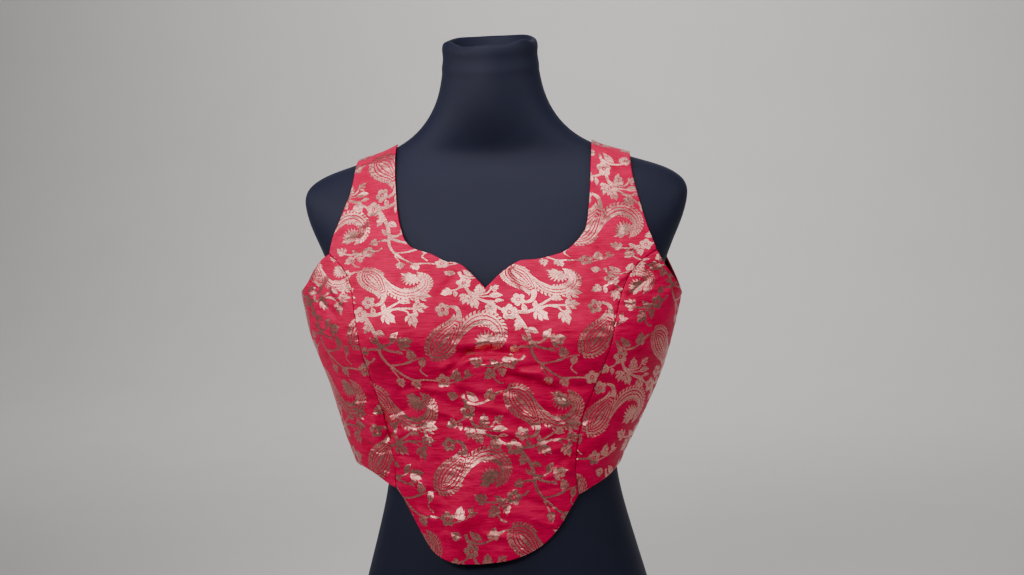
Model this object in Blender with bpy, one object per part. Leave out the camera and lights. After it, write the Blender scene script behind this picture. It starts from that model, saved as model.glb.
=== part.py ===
"""Choli blouse of brocade worn on a limbless dress form: closed solids in metres, +Z up.

The viewer sees the front from -Y. Left and right are the wearer's, so +X is the wearer's left.
Every panel is a wall on one shared torso surface. A point of that surface is given by an angle
round the body (0 at the centre front, positive towards +X, half a turn at the centre back) and
a height.
"""
import math
from collections import namedtuple

import bmesh
import bpy
from mathutils import Vector

MM = 0.001

# Cloth: brocade and its lining, bagged out, make one wall.
WALL = 1.8 * MM
SEAM_GAP = 0.3 * MM
BLEND_LOW = 472 * MM
BLEND_HIGH = 506 * MM
BACK_HEM = 256 * MM
NUMERIC_STEP = 0.0005

# Grids
STRAP_COLUMNS = 6
NECK_COLUMNS = 18
BODY_ROWS = 30
STRAP_ROWS = 12
SIDE_COLUMNS = 7
SIDE_ROWS = 24
BACK_ARMHOLE_COLUMNS = 4
BACK_NECK_COLUMNS = 7
BACK_ROWS = 16
FORM_SEGMENTS = 40

# Dress form, half its width, its depth before and behind the shoulder line, all in mm.
FormRing = namedtuple("FormRing", "height half front back power")
FORM_RINGS = (
    FormRing(0, 153, 92, 108, 2.35),
    FormRing(1.5, 157, 95, 112, 2.35),
    FormRing(6, 159.5, 97, 114.5, 2.35),
    FormRing(40, 163, 99, 118, 2.35),
    FormRing(90, 155, 97, 113, 2.3),
    FormRing(142, 141.5, 92, 99, 2.25),
    FormRing(190, 128, 86, 89, 2.2),
    FormRing(230, 118, 79, 81, 2.2),
    FormRing(258, 113.5, 76, 79, 2.2),
    FormRing(290, 116, 75.5, 82, 2.2),
    FormRing(330, 126, 77, 91, 2.2),
    FormRing(370, 139, 80, 99, 2.25),
    FormRing(400, 150, 82, 104, 2.3),
    FormRing(430, 159, 81.5, 106, 2.35),
    FormRing(456, 168, 78.5, 106, 2.4),
    FormRing(480, 177.5, 72.5, 103, 2.5),
    FormRing(500, 187, 65, 97, 2.55),
    FormRing(521, 192, 55, 87, 2.55),
    FormRing(530, 191, 50, 81, 2.5),
    FormRing(539, 186, 45, 75, 2.45),
    FormRing(549, 170, 38.5, 65, 2.35),
    FormRing(556, 147, 34, 57, 2.25),
    FormRing(565, 118, 32, 51, 2.15),
    FormRing(573, 100, 33, 49, 2.1),
    FormRing(584, 80, 37, 49, 2.05),
    FormRing(602, 63, 42.5, 50, 2),
    FormRing(624, 52.5, 45, 50.5, 2),
    FormRing(644, 48.8, 45.2, 49.0, 2),
)
# The cover rolled over the neck's rim: a soft ridge, a groove, the roll and the dished cap.
NeckRing = namedtuple("NeckRing", "height half front back")
NECK_RINGS = (
    NeckRing(648, 48.2, 45.2, 48.6),
    NeckRing(653, 48.6, 45.4, 48.8),
    NeckRing(658, 47.4, 44.4, 47.8),
    NeckRing(664, 47.0, 44.0, 47.4),
    NeckRing(669.5, 47.8, 44.6, 48.0),
    NeckRing(674, 47.4, 44.2, 47.6),
    NeckRing(676.9, 45.6, 42.4, 45.8),
    NeckRing(677.5, 43.2, 40.0, 43.4),
    NeckRing(676.1, 40.8, 37.8, 41.0),
    NeckRing(672, 39.4, 36.4, 39.6),
    NeckRing(666.5, 38.4, 35.2, 38.4),
    NeckRing(664.5, 34.0, 31.0, 34.0),
    NeckRing(664, 22.0, 20.0, 22.0),
)
NECK_CAP_HEIGHT = 663.7 * MM
RIM_INSIDE = 40.0
NECK_TILT = math.tan(math.radians(10))
NECK_TILT_LOW = 606 * MM
NECK_TILT_HIGH = 648 * MM
# Bumps round the rolled rim: angle in degrees, spread in degrees, rise in mm
RimLump = namedtuple("RimLump", "angle spread rise")
RIM_LUMPS = (
    RimLump(-62, 15, 3.0),
    RimLump(-28, 11, -1.6),
    RimLump(52, 12, 3.4),
    RimLump(78, 9, -1.2),
    RimLump(130, 22, 1.6),
    RimLump(-128, 18, 1.2),
)

# Blouse, its outer face in mm: half widths to the wearer's right and left, depth before, behind
BlouseRing = namedtuple("BlouseRing", "height right left front back power")
BLOUSE_RINGS = (
    BlouseRing(165, 126, 106, 98, 92, 2.25),
    BlouseRing(200, 131, 109, 97, 92, 2.25),
    BlouseRing(230, 138, 113, 95, 92, 2.25),
    BlouseRing(260, 147.5, 120.5, 92.5, 94, 2.25),
    BlouseRing(290, 158, 135.5, 91, 98, 2.25),
    BlouseRing(321, 166.5, 150.5, 91, 103, 2.25),
    BlouseRing(343, 172.5, 160, 91.5, 107, 2.25),
    BlouseRing(365, 180, 167.5, 93, 110, 2.25),
    BlouseRing(397, 190.5, 176.5, 94, 112.5, 2.25),
    BlouseRing(415, 194, 181, 92.5, 114, 2.25),
    BlouseRing(434, 197, 185, 90, 114.5, 2.3),
    BlouseRing(455, 194, 186, 86.5, 113, 2.4),
    BlouseRing(470, 191, 187, 82.5, 110.5, 2.45),
    BlouseRing(490, 191, 190, 76, 105, 2.5),
    BlouseRing(510, 194, 194, 66, 97, 2.5),
)
# The strap's inside above the form, by height: its stiff outer half bridges the shoulder's fall.
Lift = namedtuple("Lift", "height rise")
STRAP_LIFTS = (
    Lift(470, 0.9),
    Lift(530, 1.1),
    Lift(548, 2.4),
    Lift(558, 4.0),
    Lift(566, 3.2),
    Lift(574, 1.1),
    Lift(582, 0.9),
)

# Bust cups: place of the apex, rise, spread across, above and below it, in mm
Cup = namedtuple("Cup", "x height rise across above below")
BLOUSE_CUPS = (
    Cup(-100, 396, 23, 47, 48, 30),
    Cup(97, 392, 23, 47, 48, 30),
)
FORM_CUPS = (
    Cup(-93, 396, 27, 36, 36, 27),
    Cup(90, 392, 27, 36, 36, 27),
)

# Folds of the front: a line from one place to the other, its half width and its rise, in mm.
Fold = namedtuple("Fold", "x1 z1 x2 z2 width rise")
FOLDS = (
    Fold(-32, 377, 0, 382, 5.5, -3.2),
    Fold(0, 382, 29, 380, 5.5, -3.0),
    Fold(-50, 369, -38, 366, 6.0, 1.8),
    Fold(19, 356, 67, 336, 5.5, -3.4),
    Fold(22, 367, 64, 350, 6.0, 2.6),
    Fold(-55, 337, -33, 327, 5.0, -2.0),
    Fold(-60, 314, -42, 316, 5.0, -1.8),
    Fold(-14, 321, 26, 310, 5.0, -1.5),
    Fold(-109, 321, -104, 298, 5.5, -4.0),
    Fold(-117, 312, -114, 292, 7.0, 3.0),
    Fold(-105, 292, -104, 262, 6.0, -2.4),
    Fold(-14, 262, -31, 216, 15.0, 3.6),
    Fold(-31, 216, -37, 180, 13.0, 3.2),
    Fold(32, 262, 45, 198, 17.0, -2.4),
    Fold(22, 226, 55, 214, 6.0, 1.8),
    Fold(66, 274, 78, 288, 6.0, -2.0),
    Fold(78, 296, 88, 315, 6.0, -1.8),
    Fold(104, 474, 105, 432, 5.0, -1.5),
    Fold(-156, 462, -172, 436, 6.0, -2.0),
    Fold(152, 452, 166, 434, 6.0, -1.8),
)

# Edges seen from the front: x and height in mm
Edge = namedtuple("Edge", "x z")
PRINCESS_RIGHT = (
    Edge(-97, 246), Edge(-98, 264), Edge(-102, 288), Edge(-107, 312), Edge(-112.5, 338),
    Edge(-117, 369), Edge(-121, 398), Edge(-124.5, 417), Edge(-127, 430), Edge(-130, 443),
    Edge(-135, 453.5), Edge(-145.5, 465), Edge(-157.5, 474),
)
PRINCESS_LEFT = (
    Edge(80, 236.5), Edge(78, 261), Edge(80.5, 286), Edge(86, 311), Edge(95, 336),
    Edge(104, 362), Edge(111, 384), Edge(115.5, 405), Edge(121, 425), Edge(129, 444),
    Edge(143, 460), Edge(159.5, 470),
)
HEM_FRONT = (
    Edge(-97, 246), Edge(-91.5, 240), Edge(-86, 230.5), Edge(-80, 219.5), Edge(-74, 208.5),
    Edge(-68, 197.5), Edge(-61.5, 188), Edge(-53.5, 182), Edge(-44.5, 178.5), Edge(-36, 176.7),
    Edge(-25, 176), Edge(-13, 176.2), Edge(0, 177.4), Edge(13, 179.1), Edge(24.5, 182.2),
    Edge(36, 186.6), Edge(46, 192), Edge(54, 198.8), Edge(63, 209.8), Edge(71.5, 223.5),
    Edge(80, 236.5),
)
HEM_SIDE_RIGHT = (Edge(-147.5, 262), Edge(-136, 262), Edge(-123, 258.5), Edge(-106, 250),
                  Edge(-97, 246))
HEM_SIDE_LEFT = (Edge(80, 236.5), Edge(91, 241.5), Edge(106, 248), Edge(120.5, 258))
NECKLINE = (
    Edge(-79.5, 487), Edge(-72, 480), Edge(-64, 477), Edge(-54.5, 474), Edge(-45, 469.3),
    Edge(-38, 466), Edge(-30.5, 465.2), Edge(-23.8, 462.3), Edge(-16.2, 455.6),
    Edge(-8.7, 448), Edge(-2, 440.5), Edge(4.6, 446.7), Edge(12.3, 454), Edge(21.8, 460.7),
    Edge(33, 465.8), Edge(45.5, 466.4), Edge(58, 468.7), Edge(67, 471), Edge(76, 475),
    Edge(86, 484),
)
STRAP_IN_RIGHT = (
    Edge(-79.5, 487), Edge(-85, 500.5), Edge(-89, 519.5), Edge(-92, 543.5), Edge(-95, 577),
)
STRAP_OUT_RIGHT = (
    Edge(-157.5, 474), Edge(-154, 490), Edge(-147.8, 504.5), Edge(-142, 519.5),
    Edge(-137.5, 532), Edge(-135, 545), Edge(-134, 563),
)
STRAP_IN_LEFT = (
    Edge(86, 484), Edge(93, 494.5), Edge(95.5, 510), Edge(97.5, 538), Edge(98.5, 576),
)
STRAP_OUT_LEFT = (
    Edge(159.5, 470), Edge(155.5, 482), Edge(151, 494), Edge(145.6, 513), Edge(141, 530),
    Edge(137.5, 546), Edge(135.5, 563),
)
ARMHOLE_RIGHT = (
    Edge(-197, 434), Edge(-191, 438), Edge(-183, 446), Edge(-175, 458), Edge(-166, 468.5),
    Edge(-157.5, 474),
)
ARMHOLE_LEFT = (
    Edge(184, 424), Edge(181.5, 430), Edge(173, 446), Edge(168, 454), Edge(163.5, 462.5),
    Edge(159.5, 470),
)

# The back, for one half; the other is mirrored onto its own half width.
BACK_STRAP_OUT = (Edge(158, 478), Edge(151, 497), Edge(144.5, 515), Edge(139, 535), Edge(135, 558))
BACK_STRAP_IN = (Edge(84, 462), Edge(90, 480), Edge(94, 505), Edge(97, 535), Edge(98, 572))
BACK_NECKLINE = (Edge(84, 462), Edge(76, 447), Edge(64, 436), Edge(46, 428.5), Edge(24, 425.5),
                 Edge(0, 425))

# Moves everything so that the middle of the whole stands on the origin.
CENTRE_X = 2.51 * MM
CENTRE_Y = -4.587 * MM

SILK = (0.62, 0.02, 0.07, 1.0)
JERSEY = (0.012, 0.014, 0.032, 1.0)


class Curve:
    """A monotone cubic through the values of a short table."""

    def __init__(self, places, values):
        self.places = list(places)
        self.values = list(values)
        steps = [b - a for a, b in zip(self.places, self.places[1:])]
        rises = [(b - a) / s for a, b, s in zip(self.values, self.values[1:], steps)]
        inner = [
            0.0 if a * b <= 0 else 2 * a * b / (a + b) for a, b in zip(rises, rises[1:])
        ]
        self.slopes = [rises[0]] + inner + [rises[-1]]

    def __call__(self, place):
        places = self.places
        place = min(max(place, places[0]), places[-1])
        low = 0
        while low < len(places) - 2 and place > places[low + 1]:
            low += 1
        span = places[low + 1] - places[low]
        f = (place - places[low]) / span
        return (
            (1 + 2 * f) * (1 - f) ** 2 * self.values[low]
            + f * (1 - f) ** 2 * span * self.slopes[low]
            + f * f * (3 - 2 * f) * self.values[low + 1]
            - f * f * (1 - f) * span * self.slopes[low + 1]
        )


def table_curves(rows):
    """One curve over the height for each other column of a table in mm."""
    heights = [row.height * MM for row in rows]
    curves = {}
    for name in rows[0]._fields[1:]:
        unit = 1 if name == "power" else MM
        curves[name] = Curve(heights, [getattr(row, name) * unit for row in rows])
    return curves


FORM = table_curves(FORM_RINGS)
STRAP_LIFT = table_curves(STRAP_LIFTS)["rise"]
BLOUSE = table_curves(BLOUSE_RINGS)


def smoothstep(low, high, value):
    """Zero below low, one above high, and smooth between them."""
    f = min(max((value - low) / (high - low), 0.0), 1.0)
    return f * f * (3 - 2 * f)


def signed_power(value, power):
    return math.copysign(abs(value) ** power, value)


def form_ring(height):
    """Centre, half width, front, back and power of the form's section."""
    return (
        0.0,
        FORM["half"](height),
        FORM["front"](height),
        FORM["back"](height),
        FORM["power"](height),
    )


def lifted_form_ring(height, lift):
    """The form's section, moved out by a distance measured square to its surface."""
    ring = [form_ring(height + k * NUMERIC_STEP) for k in (-1, 0, 1)]
    grown = list(ring[1])
    for i in (1, 2, 3):
        slope = (ring[2][i] - ring[0][i]) / (2 * NUMERIC_STEP)
        grown[i] += lift * math.hypot(1, min(abs(slope), 4.0))
    return grown


def blouse_ring(height):
    """The blouse's section: its own table, and the form's shoulder under the straps."""
    lifted = lifted_form_ring(height, STRAP_LIFT(height) + WALL)
    weight = smoothstep(BLEND_LOW, BLEND_HIGH, height)
    if weight >= 1:
        return lifted
    right = BLOUSE["right"](height)
    left = BLOUSE["left"](height)
    own = (
        (left - right) / 2,
        (left + right) / 2,
        BLOUSE["front"](height),
        BLOUSE["back"](height),
        BLOUSE["power"](height),
    )
    return [a + (b - a) * weight for a, b in zip(own, lifted)]


def ring_point(ring, angle):
    """Point of a section at an angle: a rounded box between a circle and a rectangle."""
    centre, half, front, back, power = ring
    across = signed_power(math.sin(angle), 2 / power)
    along = signed_power(math.cos(angle), 2 / power)
    depth = front if along > 0 else back
    return centre + half * across, -depth * along


def cup_rise(cups, x, height):
    """How far the bust stands out at a place seen from the front."""
    total = 0.0
    for cup in cups:
        spread = cup.above if height > cup.height * MM else cup.below
        dx = (x - cup.x * MM) / (cup.across * MM)
        dz = (height - cup.height * MM) / (spread * MM)
        total += cup.rise * MM * math.exp(-(dx * dx + dz * dz) / 2)
    return total


def fold_rise(x, height):
    """The folds' rise at a place seen from the front."""
    total = 0.0
    for fold in FOLDS:
        ax, az = fold.x1 * MM, fold.z1 * MM
        bx, bz = fold.x2 * MM - ax, fold.z2 * MM - az
        length2 = bx * bx + bz * bz
        f = ((x - ax) * bx + (height - az) * bz) / length2
        near = min(max(f, 0.0), 1.0)
        away = math.hypot(x - ax - near * bx, height - az - near * bz) / (fold.width * MM)
        if away < 4:
            total += fold.rise * MM * math.exp(-away * away)
    return total


def ridge_height(ring_at, x, low=0.522, high=0.64):
    """Height of the shoulder line at a distance from the centre."""
    for _ in range(40):
        middle = (low + high) / 2
        ring = ring_at(middle)
        if ring[1] + math.copysign(ring[0], x) > abs(x):
            low = middle
        else:
            high = middle
    return (low + high) / 2


def blouse_point(angle, height):
    """Point of the blouse's outer face."""
    x, y = ring_point(blouse_ring(height), angle)
    front = max(math.cos(angle), 0.0)
    rise = 0.0
    if front > 0:
        rise = cup_rise(BLOUSE_CUPS, x, height) * front ** 0.5
        rise += fold_rise(x, height) * min(1.0, 2.5 * front)
    return Vector((x + rise * math.sin(angle) * 0.4, y - rise, height))


def blouse_normal(angle, height):
    """Outward normal of the blouse's outer face."""
    da = NUMERIC_STEP / 0.15 * 2
    dz = NUMERIC_STEP * 2
    around = blouse_point(angle + da, height) - blouse_point(angle - da, height)
    up = blouse_point(angle, height + dz) - blouse_point(angle, height - dz)
    return around.cross(up).normalized()


def front_angle(x, height):
    """Angle at which the blouse's section has this x, on the front half."""
    centre, half, _, _, power = blouse_ring(height)
    share = min(abs(x - centre) / half, 1.0) ** (power / 2)
    return math.copysign(math.asin(min(share, 1.0)), x - centre)


def back_angle(x, height):
    angle = front_angle(x, height)
    return math.copysign(math.pi, x if x else 1.0) - angle


def spaced(edges, count):
    """Points along a chain of edges, evenly spaced, as (x, z) in metres."""
    chain = [(edge.x * MM, edge.z * MM) for edge in edges]
    lengths = [0.0]
    for a, b in zip(chain, chain[1:]):
        lengths.append(lengths[-1] + math.dist(a, b))
    across = Curve(lengths, [p[0] for p in chain])
    upward = Curve(lengths, [p[1] for p in chain])
    return [
        (across(lengths[-1] * i / count), upward(lengths[-1] * i / count))
        for i in range(count + 1)
    ]


def filled(bottom, top, first, last):
    """A grid of (angle, height) between four edges of such points."""
    columns = len(bottom) - 1
    rows = len(first) - 1
    grid = []
    for j in range(rows + 1):
        v = j / rows
        row = []
        for i in range(columns + 1):
            u = i / columns
            row.append(tuple(
                (1 - v) * bottom[i][k] + v * top[i][k] + (1 - u) * first[j][k] + u * last[j][k]
                - (1 - u) * (1 - v) * bottom[0][k] - u * (1 - v) * bottom[-1][k]
                - (1 - u) * v * top[0][k] - u * v * top[-1][k]
                for k in (0, 1)
            ))
        grid.append(row)
    return grid


def strap_rows(base, inner, outer, angle_at):
    """Rows of (angle, height) from a strap's base to the shoulder line.

    The base runs from the outer to the inner edge; inner and outer are edge tables.
    """
    columns = len(base) - 1
    inside = Curve([e.z * MM for e in inner], [e.x * MM for e in inner])
    outside = Curve([e.z * MM for e in outer], [e.x * MM for e in outer])
    rows = []
    for j in range(1, STRAP_ROWS + 1):
        rise = 1 - (1 - j / STRAP_ROWS) ** 2
        row = []
        for i in range(columns + 1):
            share = i / columns
            height = base[i][1]
            x = 0.0
            for _ in range(6):
                x = outside(height) * (1 - share) + inside(height) * share
                height = base[i][1] + (ridge_height(blouse_ring, x) - base[i][1]) * rise
            row.append((angle_at(x, height), height))
        rows.append(row)
    return rows


def set_back(point, gap):
    """Moves a point round the body by a distance along the surface."""
    step = 0.002
    here = blouse_point(point[0], point[1])
    there = blouse_point(point[0] + step, point[1])
    return (point[0] + gap * step / (there - here).length, point[1])


def mirrored(edges, side):
    """The same edges on one side of the centre."""
    return [Edge(side * edge.x, edge.z) for edge in edges]


def end_strap(row, side):
    """Ends a strap half a seam gap before the shoulder line, on the front or the back."""
    ended = []
    for angle, height in row:
        _, _, front, back, power = blouse_ring(height)
        depth = front if side > 0 else back
        left = (SEAM_GAP / 2 / depth) ** (power / 2)
        corner = math.copysign(math.pi / 2, angle)
        ended.append((corner - math.copysign(math.asin(left), angle) * side, height))
    return ended


def add_object(name, mesh_vertices, faces, colour, roughness):
    """A mesh object with its own material, its faces turned outwards."""
    mesh = bpy.data.meshes.new(name)
    moved = [(v[0] + CENTRE_X, v[1] + CENTRE_Y, v[2]) for v in mesh_vertices]
    mesh.from_pydata(moved, [], faces)
    solid = bmesh.new()
    solid.from_mesh(mesh)
    bmesh.ops.recalc_face_normals(solid, faces=solid.faces)
    solid.to_mesh(mesh)
    solid.free()
    mesh.update()
    material = bpy.data.materials.new(name)
    material.use_nodes = True
    shader = material.node_tree.nodes["Principled BSDF"]
    shader.inputs["Base Color"].default_value = colour
    shader.inputs["Roughness"].default_value = roughness
    mesh.materials.append(material)
    item = bpy.data.objects.new(name, mesh)
    bpy.context.collection.objects.link(item)
    return item


def add_wall(name, grids):
    """A closed wall over grids of (angle, height) that share their common points."""
    index = {}
    places = []
    quads = []
    for grid in grids:
        for low, high in zip(grid, grid[1:]):
            for a, b, c, d in zip(low, low[1:], high[1:], high):
                quad = []
                for place in (a, b, c, d):
                    key = (round(place[0], 7), round(place[1], 7))
                    if key not in index:
                        index[key] = len(places)
                        places.append(place)
                    quad.append(index[key])
                quads.append(quad)
    outer = [blouse_point(*place) for place in places]
    inner = [p - blouse_normal(*place) * WALL for p, place in zip(outer, places)]
    count = len(places)
    faces = [list(quad) for quad in quads]
    faces += [[count + i for i in reversed(quad)] for quad in quads]
    used = {}
    for quad in quads:
        for a, b in zip(quad, quad[1:] + quad[:1]):
            used[(a, b)] = used.get((a, b), 0) + 1
    for a, b in used:
        if (b, a) not in used:
            faces.append([b, a, count + a, count + b])
    return add_object(name, outer + inner, faces, SILK, 0.45)


def build_front_centre():
    """The front between the princess seams, with both straps to the shoulder."""
    rows = BODY_ROWS
    columns = 2 * STRAP_COLUMNS + NECK_COLUMNS
    gap = SEAM_GAP / 2
    first = [set_back((front_angle(*p), p[1]), gap) for p in spaced(PRINCESS_RIGHT, rows)]
    last = [set_back((front_angle(*p), p[1]), -gap) for p in spaced(PRINCESS_LEFT, rows)]
    base_right = spaced((PRINCESS_RIGHT[-1], NECKLINE[0]), STRAP_COLUMNS)
    base_left = spaced((NECKLINE[-1], PRINCESS_LEFT[-1]), STRAP_COLUMNS)
    neck = spaced(NECKLINE, NECK_COLUMNS)
    tip = min(range(len(neck)), key=lambda i: neck[i][1])
    low_tip = min(NECKLINE, key=lambda e: e.z)
    neck[tip] = (low_tip.x * MM, low_tip.z * MM)
    upper = base_right[:-1] + neck + base_left[1:]
    top = [(front_angle(*p), p[1]) for p in upper]
    top[0] = first[-1]
    top[-1] = last[-1]
    chain = spaced(HEM_FRONT, 200)
    span = HEM_FRONT[-1].x * MM - HEM_FRONT[0].x * MM
    low_x, high_x = upper[0][0], upper[-1][0]
    bottom = []
    for x, _ in upper:
        want = HEM_FRONT[0].x * MM + span * (x - low_x) / (high_x - low_x)
        place = min(chain, key=lambda p: abs(p[0] - want))
        bottom.append((front_angle(*place), place[1]))
    bottom[0] = first[0]
    bottom[-1] = last[0]
    body = filled(bottom, top, first, last)
    right_base = body[-1][: STRAP_COLUMNS + 1]
    left_base = body[-1][columns - STRAP_COLUMNS :]
    right_strap = strap_rows(right_base, STRAP_IN_RIGHT, STRAP_OUT_RIGHT, front_angle)
    right_strap[-1] = end_strap(right_strap[-1], 1)
    left_strap = strap_rows(left_base[::-1], STRAP_IN_LEFT, STRAP_OUT_LEFT, front_angle)
    left_strap[-1] = end_strap(left_strap[-1], 1)
    left_strap = [row[::-1] for row in left_strap]
    return add_wall(
        "front_centre", [body, [right_base] + right_strap, [left_base] + left_strap]
    )


def build_front_side(name, seam, hem, armhole, side):
    """The panel between a princess seam and the side seam; side is +1 on the wearer's left."""
    gap = SEAM_GAP / 2
    corner = side * math.pi / 2
    inner = [set_back((front_angle(*p), p[1]), side * gap) for p in spaced(seam, SIDE_ROWS)]
    low = hem[-1] if side > 0 else hem[0]
    high = armhole[0]
    outer = [
        set_back((corner, (low.z + (high.z - low.z) * j / SIDE_ROWS) * MM), -side * gap)
        for j in range(SIDE_ROWS + 1)
    ]
    bottom = [(front_angle(*p), p[1]) for p in spaced(hem, SIDE_COLUMNS)]
    top = [(front_angle(*p), p[1]) for p in spaced(armhole, SIDE_COLUMNS)]
    if side > 0:
        top.reverse()
        first, last = inner, outer
    else:
        first, last = outer, inner
    bottom[0], bottom[-1] = first[0], last[0]
    top[0], top[-1] = first[-1], last[-1]
    return add_wall(name, [filled(bottom, top, first, last)])


def build_back(name, hem_height, corner_height, side):
    """Half the back with its strap, from the side seam to the centre back."""
    gap = SEAM_GAP / 2
    corner = side * math.pi / 2
    rows = BACK_ROWS
    outer = [
        set_back((corner, hem_height + (corner_height - hem_height) * j / rows), side * gap)
        for j in range(rows + 1)
    ]
    middle_top = BACK_NECKLINE[-1].z * MM
    inner = [
        set_back((side * math.pi, BACK_HEM + (middle_top - BACK_HEM) * j / rows), -side * gap)
        for j in range(rows + 1)
    ]
    strap_top = BACK_STRAP_OUT[0]
    armhole = []
    start = corner
    end = back_angle(side * strap_top.x * MM, strap_top.z * MM)
    for i in range(BACK_ARMHOLE_COLUMNS):
        share = i / BACK_ARMHOLE_COLUMNS
        height = corner_height + (strap_top.z * MM - corner_height) * (1 - math.cos(share * math.pi / 2))
        armhole.append((start + (end - start) * share, height))
    base_edge = spaced(mirrored((strap_top, BACK_NECKLINE[0]), side), STRAP_COLUMNS)
    base = [(back_angle(*p), p[1]) for p in base_edge]
    neck_edge = spaced(mirrored(BACK_NECKLINE, side), BACK_NECK_COLUMNS)
    neck = [(back_angle(*p), p[1]) for p in neck_edge]
    top = armhole + base[:-1] + neck
    top[0] = outer[-1]
    top[-1] = inner[-1]
    columns = len(top) - 1
    bottom = []
    for i, place in enumerate(top):
        share = (place[0] - top[0][0]) / (top[-1][0] - top[0][0])
        drop = hem_height + (BACK_HEM - hem_height) * smoothstep(0, 1, share)
        bottom.append((outer[0][0] + (inner[0][0] - outer[0][0]) * share, drop))
    bottom[0], bottom[-1] = outer[0], inner[0]
    body = filled(bottom, top, outer, inner)
    first = BACK_ARMHOLE_COLUMNS
    strap_base = body[-1][first : first + STRAP_COLUMNS + 1]
    inside = mirrored(BACK_STRAP_IN, side)
    outside = mirrored(BACK_STRAP_OUT, side)
    strap = strap_rows(strap_base, inside, outside, back_angle)
    strap[-1] = end_strap(strap[-1], -1)
    return add_wall(name, [body, [strap_base] + strap])


def build_form():
    """The limbless form: torso, shoulder caps and neck, closed by a flat base and a cap."""
    heights = [ring.height * MM for ring in FORM_RINGS]
    levels = []
    for low, high in zip(heights, heights[1:]):
        parts = max(1, round((high - low) / (24 * MM)))
        levels += [low + (high - low) * i / parts for i in range(parts)]
    levels.append(heights[-1])
    rings = []
    for height in levels:
        ring = form_ring(height)
        points = []
        for i in range(FORM_SEGMENTS):
            angle = 2 * math.pi * i / FORM_SEGMENTS
            x, y = ring_point(ring, angle)
            if math.cos(angle) > 0:
                y -= cup_rise(FORM_CUPS, x, height) * math.cos(angle) ** 0.5
            points.append([x, y, height])
        rings.append(points)
    for row in NECK_RINGS:
        points = []
        for i in range(FORM_SEGMENTS):
            angle = 2 * math.pi * i / FORM_SEGMENTS
            x, y = ring_point((0.0, row.half * MM, row.front * MM, row.back * MM, 2), angle)
            rise = 0.0
            for lump in RIM_LUMPS:
                turn = math.degrees(angle) - lump.angle
                turn = (turn + 180) % 360 - 180
                rise += lump.rise * MM * math.exp(-((turn / lump.spread) ** 2))
            share = smoothstep(662, 677, row.height) if row.half > RIM_INSIDE else 0.3
            points.append([x, y, row.height * MM + rise * share])
        rings.append(points)
    vertices = []
    for points in rings:
        for x, y, z in points:
            tilt = smoothstep(NECK_TILT_LOW, NECK_TILT_HIGH, z)
            vertices.append((x, y, z + NECK_TILT * y * tilt))
    count = FORM_SEGMENTS
    faces = []
    for j in range(len(rings) - 1):
        for i in range(count):
            k = (i + 1) % count
            faces.append([j * count + i, j * count + k, (j + 1) * count + k, (j + 1) * count + i])
    bottom = len(vertices)
    vertices.append((0.0, 0.0, 0.0))
    top = len(vertices)
    vertices.append((0.0, 0.0, NECK_CAP_HEIGHT))
    last = (len(rings) - 1) * count
    for i in range(count):
        k = (i + 1) % count
        faces.append([bottom, k, i])
        faces.append([top, last + i, last + k])
    return add_object("dress_form", vertices, faces, JERSEY, 0.8)


def main():
    for item in list(bpy.data.objects):
        bpy.data.objects.remove(item, do_unlink=True)
    build_form()
    build_front_centre()
    build_front_side("front_side_right", PRINCESS_RIGHT, HEM_SIDE_RIGHT, ARMHOLE_RIGHT, -1)
    build_front_side("front_side_left", PRINCESS_LEFT, HEM_SIDE_LEFT, ARMHOLE_LEFT, 1)
    build_back("back_right", HEM_SIDE_RIGHT[0].z * MM, ARMHOLE_RIGHT[0].z * MM, -1)
    build_back("back_left", HEM_SIDE_LEFT[-1].z * MM, ARMHOLE_LEFT[0].z * MM, 1)


if __name__ == "__main__":
    main()
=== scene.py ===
"""Visual model of a brocade choli blouse worn on a limbless dress form.

Left and right are the wearer's, so +X is the wearer's left. Lengths in tables are millimetres,
and lengths in the code are metres. The cloth is drawn flat, as on a cutting table: u runs round
the body and v up the cloth. A chart lays that flat cloth on the torso.
"""
import logging
import math
from dataclasses import dataclass, field
from enum import Enum
from typing import Any, NamedTuple, Sequence

import bmesh
import bpy
import numpy as np
from mathutils import Matrix, Vector
from mathutils.geometry import delaunay_2d_cdt


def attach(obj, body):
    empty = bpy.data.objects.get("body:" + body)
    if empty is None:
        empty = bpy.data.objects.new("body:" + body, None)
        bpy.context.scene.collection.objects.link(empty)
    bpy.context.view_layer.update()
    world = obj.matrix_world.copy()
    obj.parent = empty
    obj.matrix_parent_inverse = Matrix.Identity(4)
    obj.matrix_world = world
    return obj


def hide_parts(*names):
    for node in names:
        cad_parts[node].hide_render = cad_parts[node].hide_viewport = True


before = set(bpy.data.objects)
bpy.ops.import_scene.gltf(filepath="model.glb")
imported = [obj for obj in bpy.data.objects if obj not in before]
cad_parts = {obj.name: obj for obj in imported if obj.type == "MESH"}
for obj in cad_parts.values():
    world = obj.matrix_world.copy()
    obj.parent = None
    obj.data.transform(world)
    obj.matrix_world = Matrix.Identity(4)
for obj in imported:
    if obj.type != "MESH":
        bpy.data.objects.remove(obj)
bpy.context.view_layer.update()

LOG = logging.getLogger("choli")
MM = 0.001
Array = np.ndarray

Colour = tuple[float, float, float]
Spot = tuple[float, float, float]
Place = tuple[float, float]

WALL = 1.8 * MM
HALF_GAP = 0.15 * MM
# The blouse's own sections give way to the form's between these heights
BLEND_LOW = 472 * MM
BLEND_HIGH = 506 * MM
BACK_HEM = 256 * MM
NUMERIC_STEP = 0.5 * MM
# From the tables' origin to the frame's, which is the middle of the part
CENTRE = np.array([2.51, -4.587, 0.0]) * MM


class FormRing(NamedTuple):
    """One section of the dress form."""

    height: float
    half: float
    front: float
    back: float
    power: float


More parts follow.
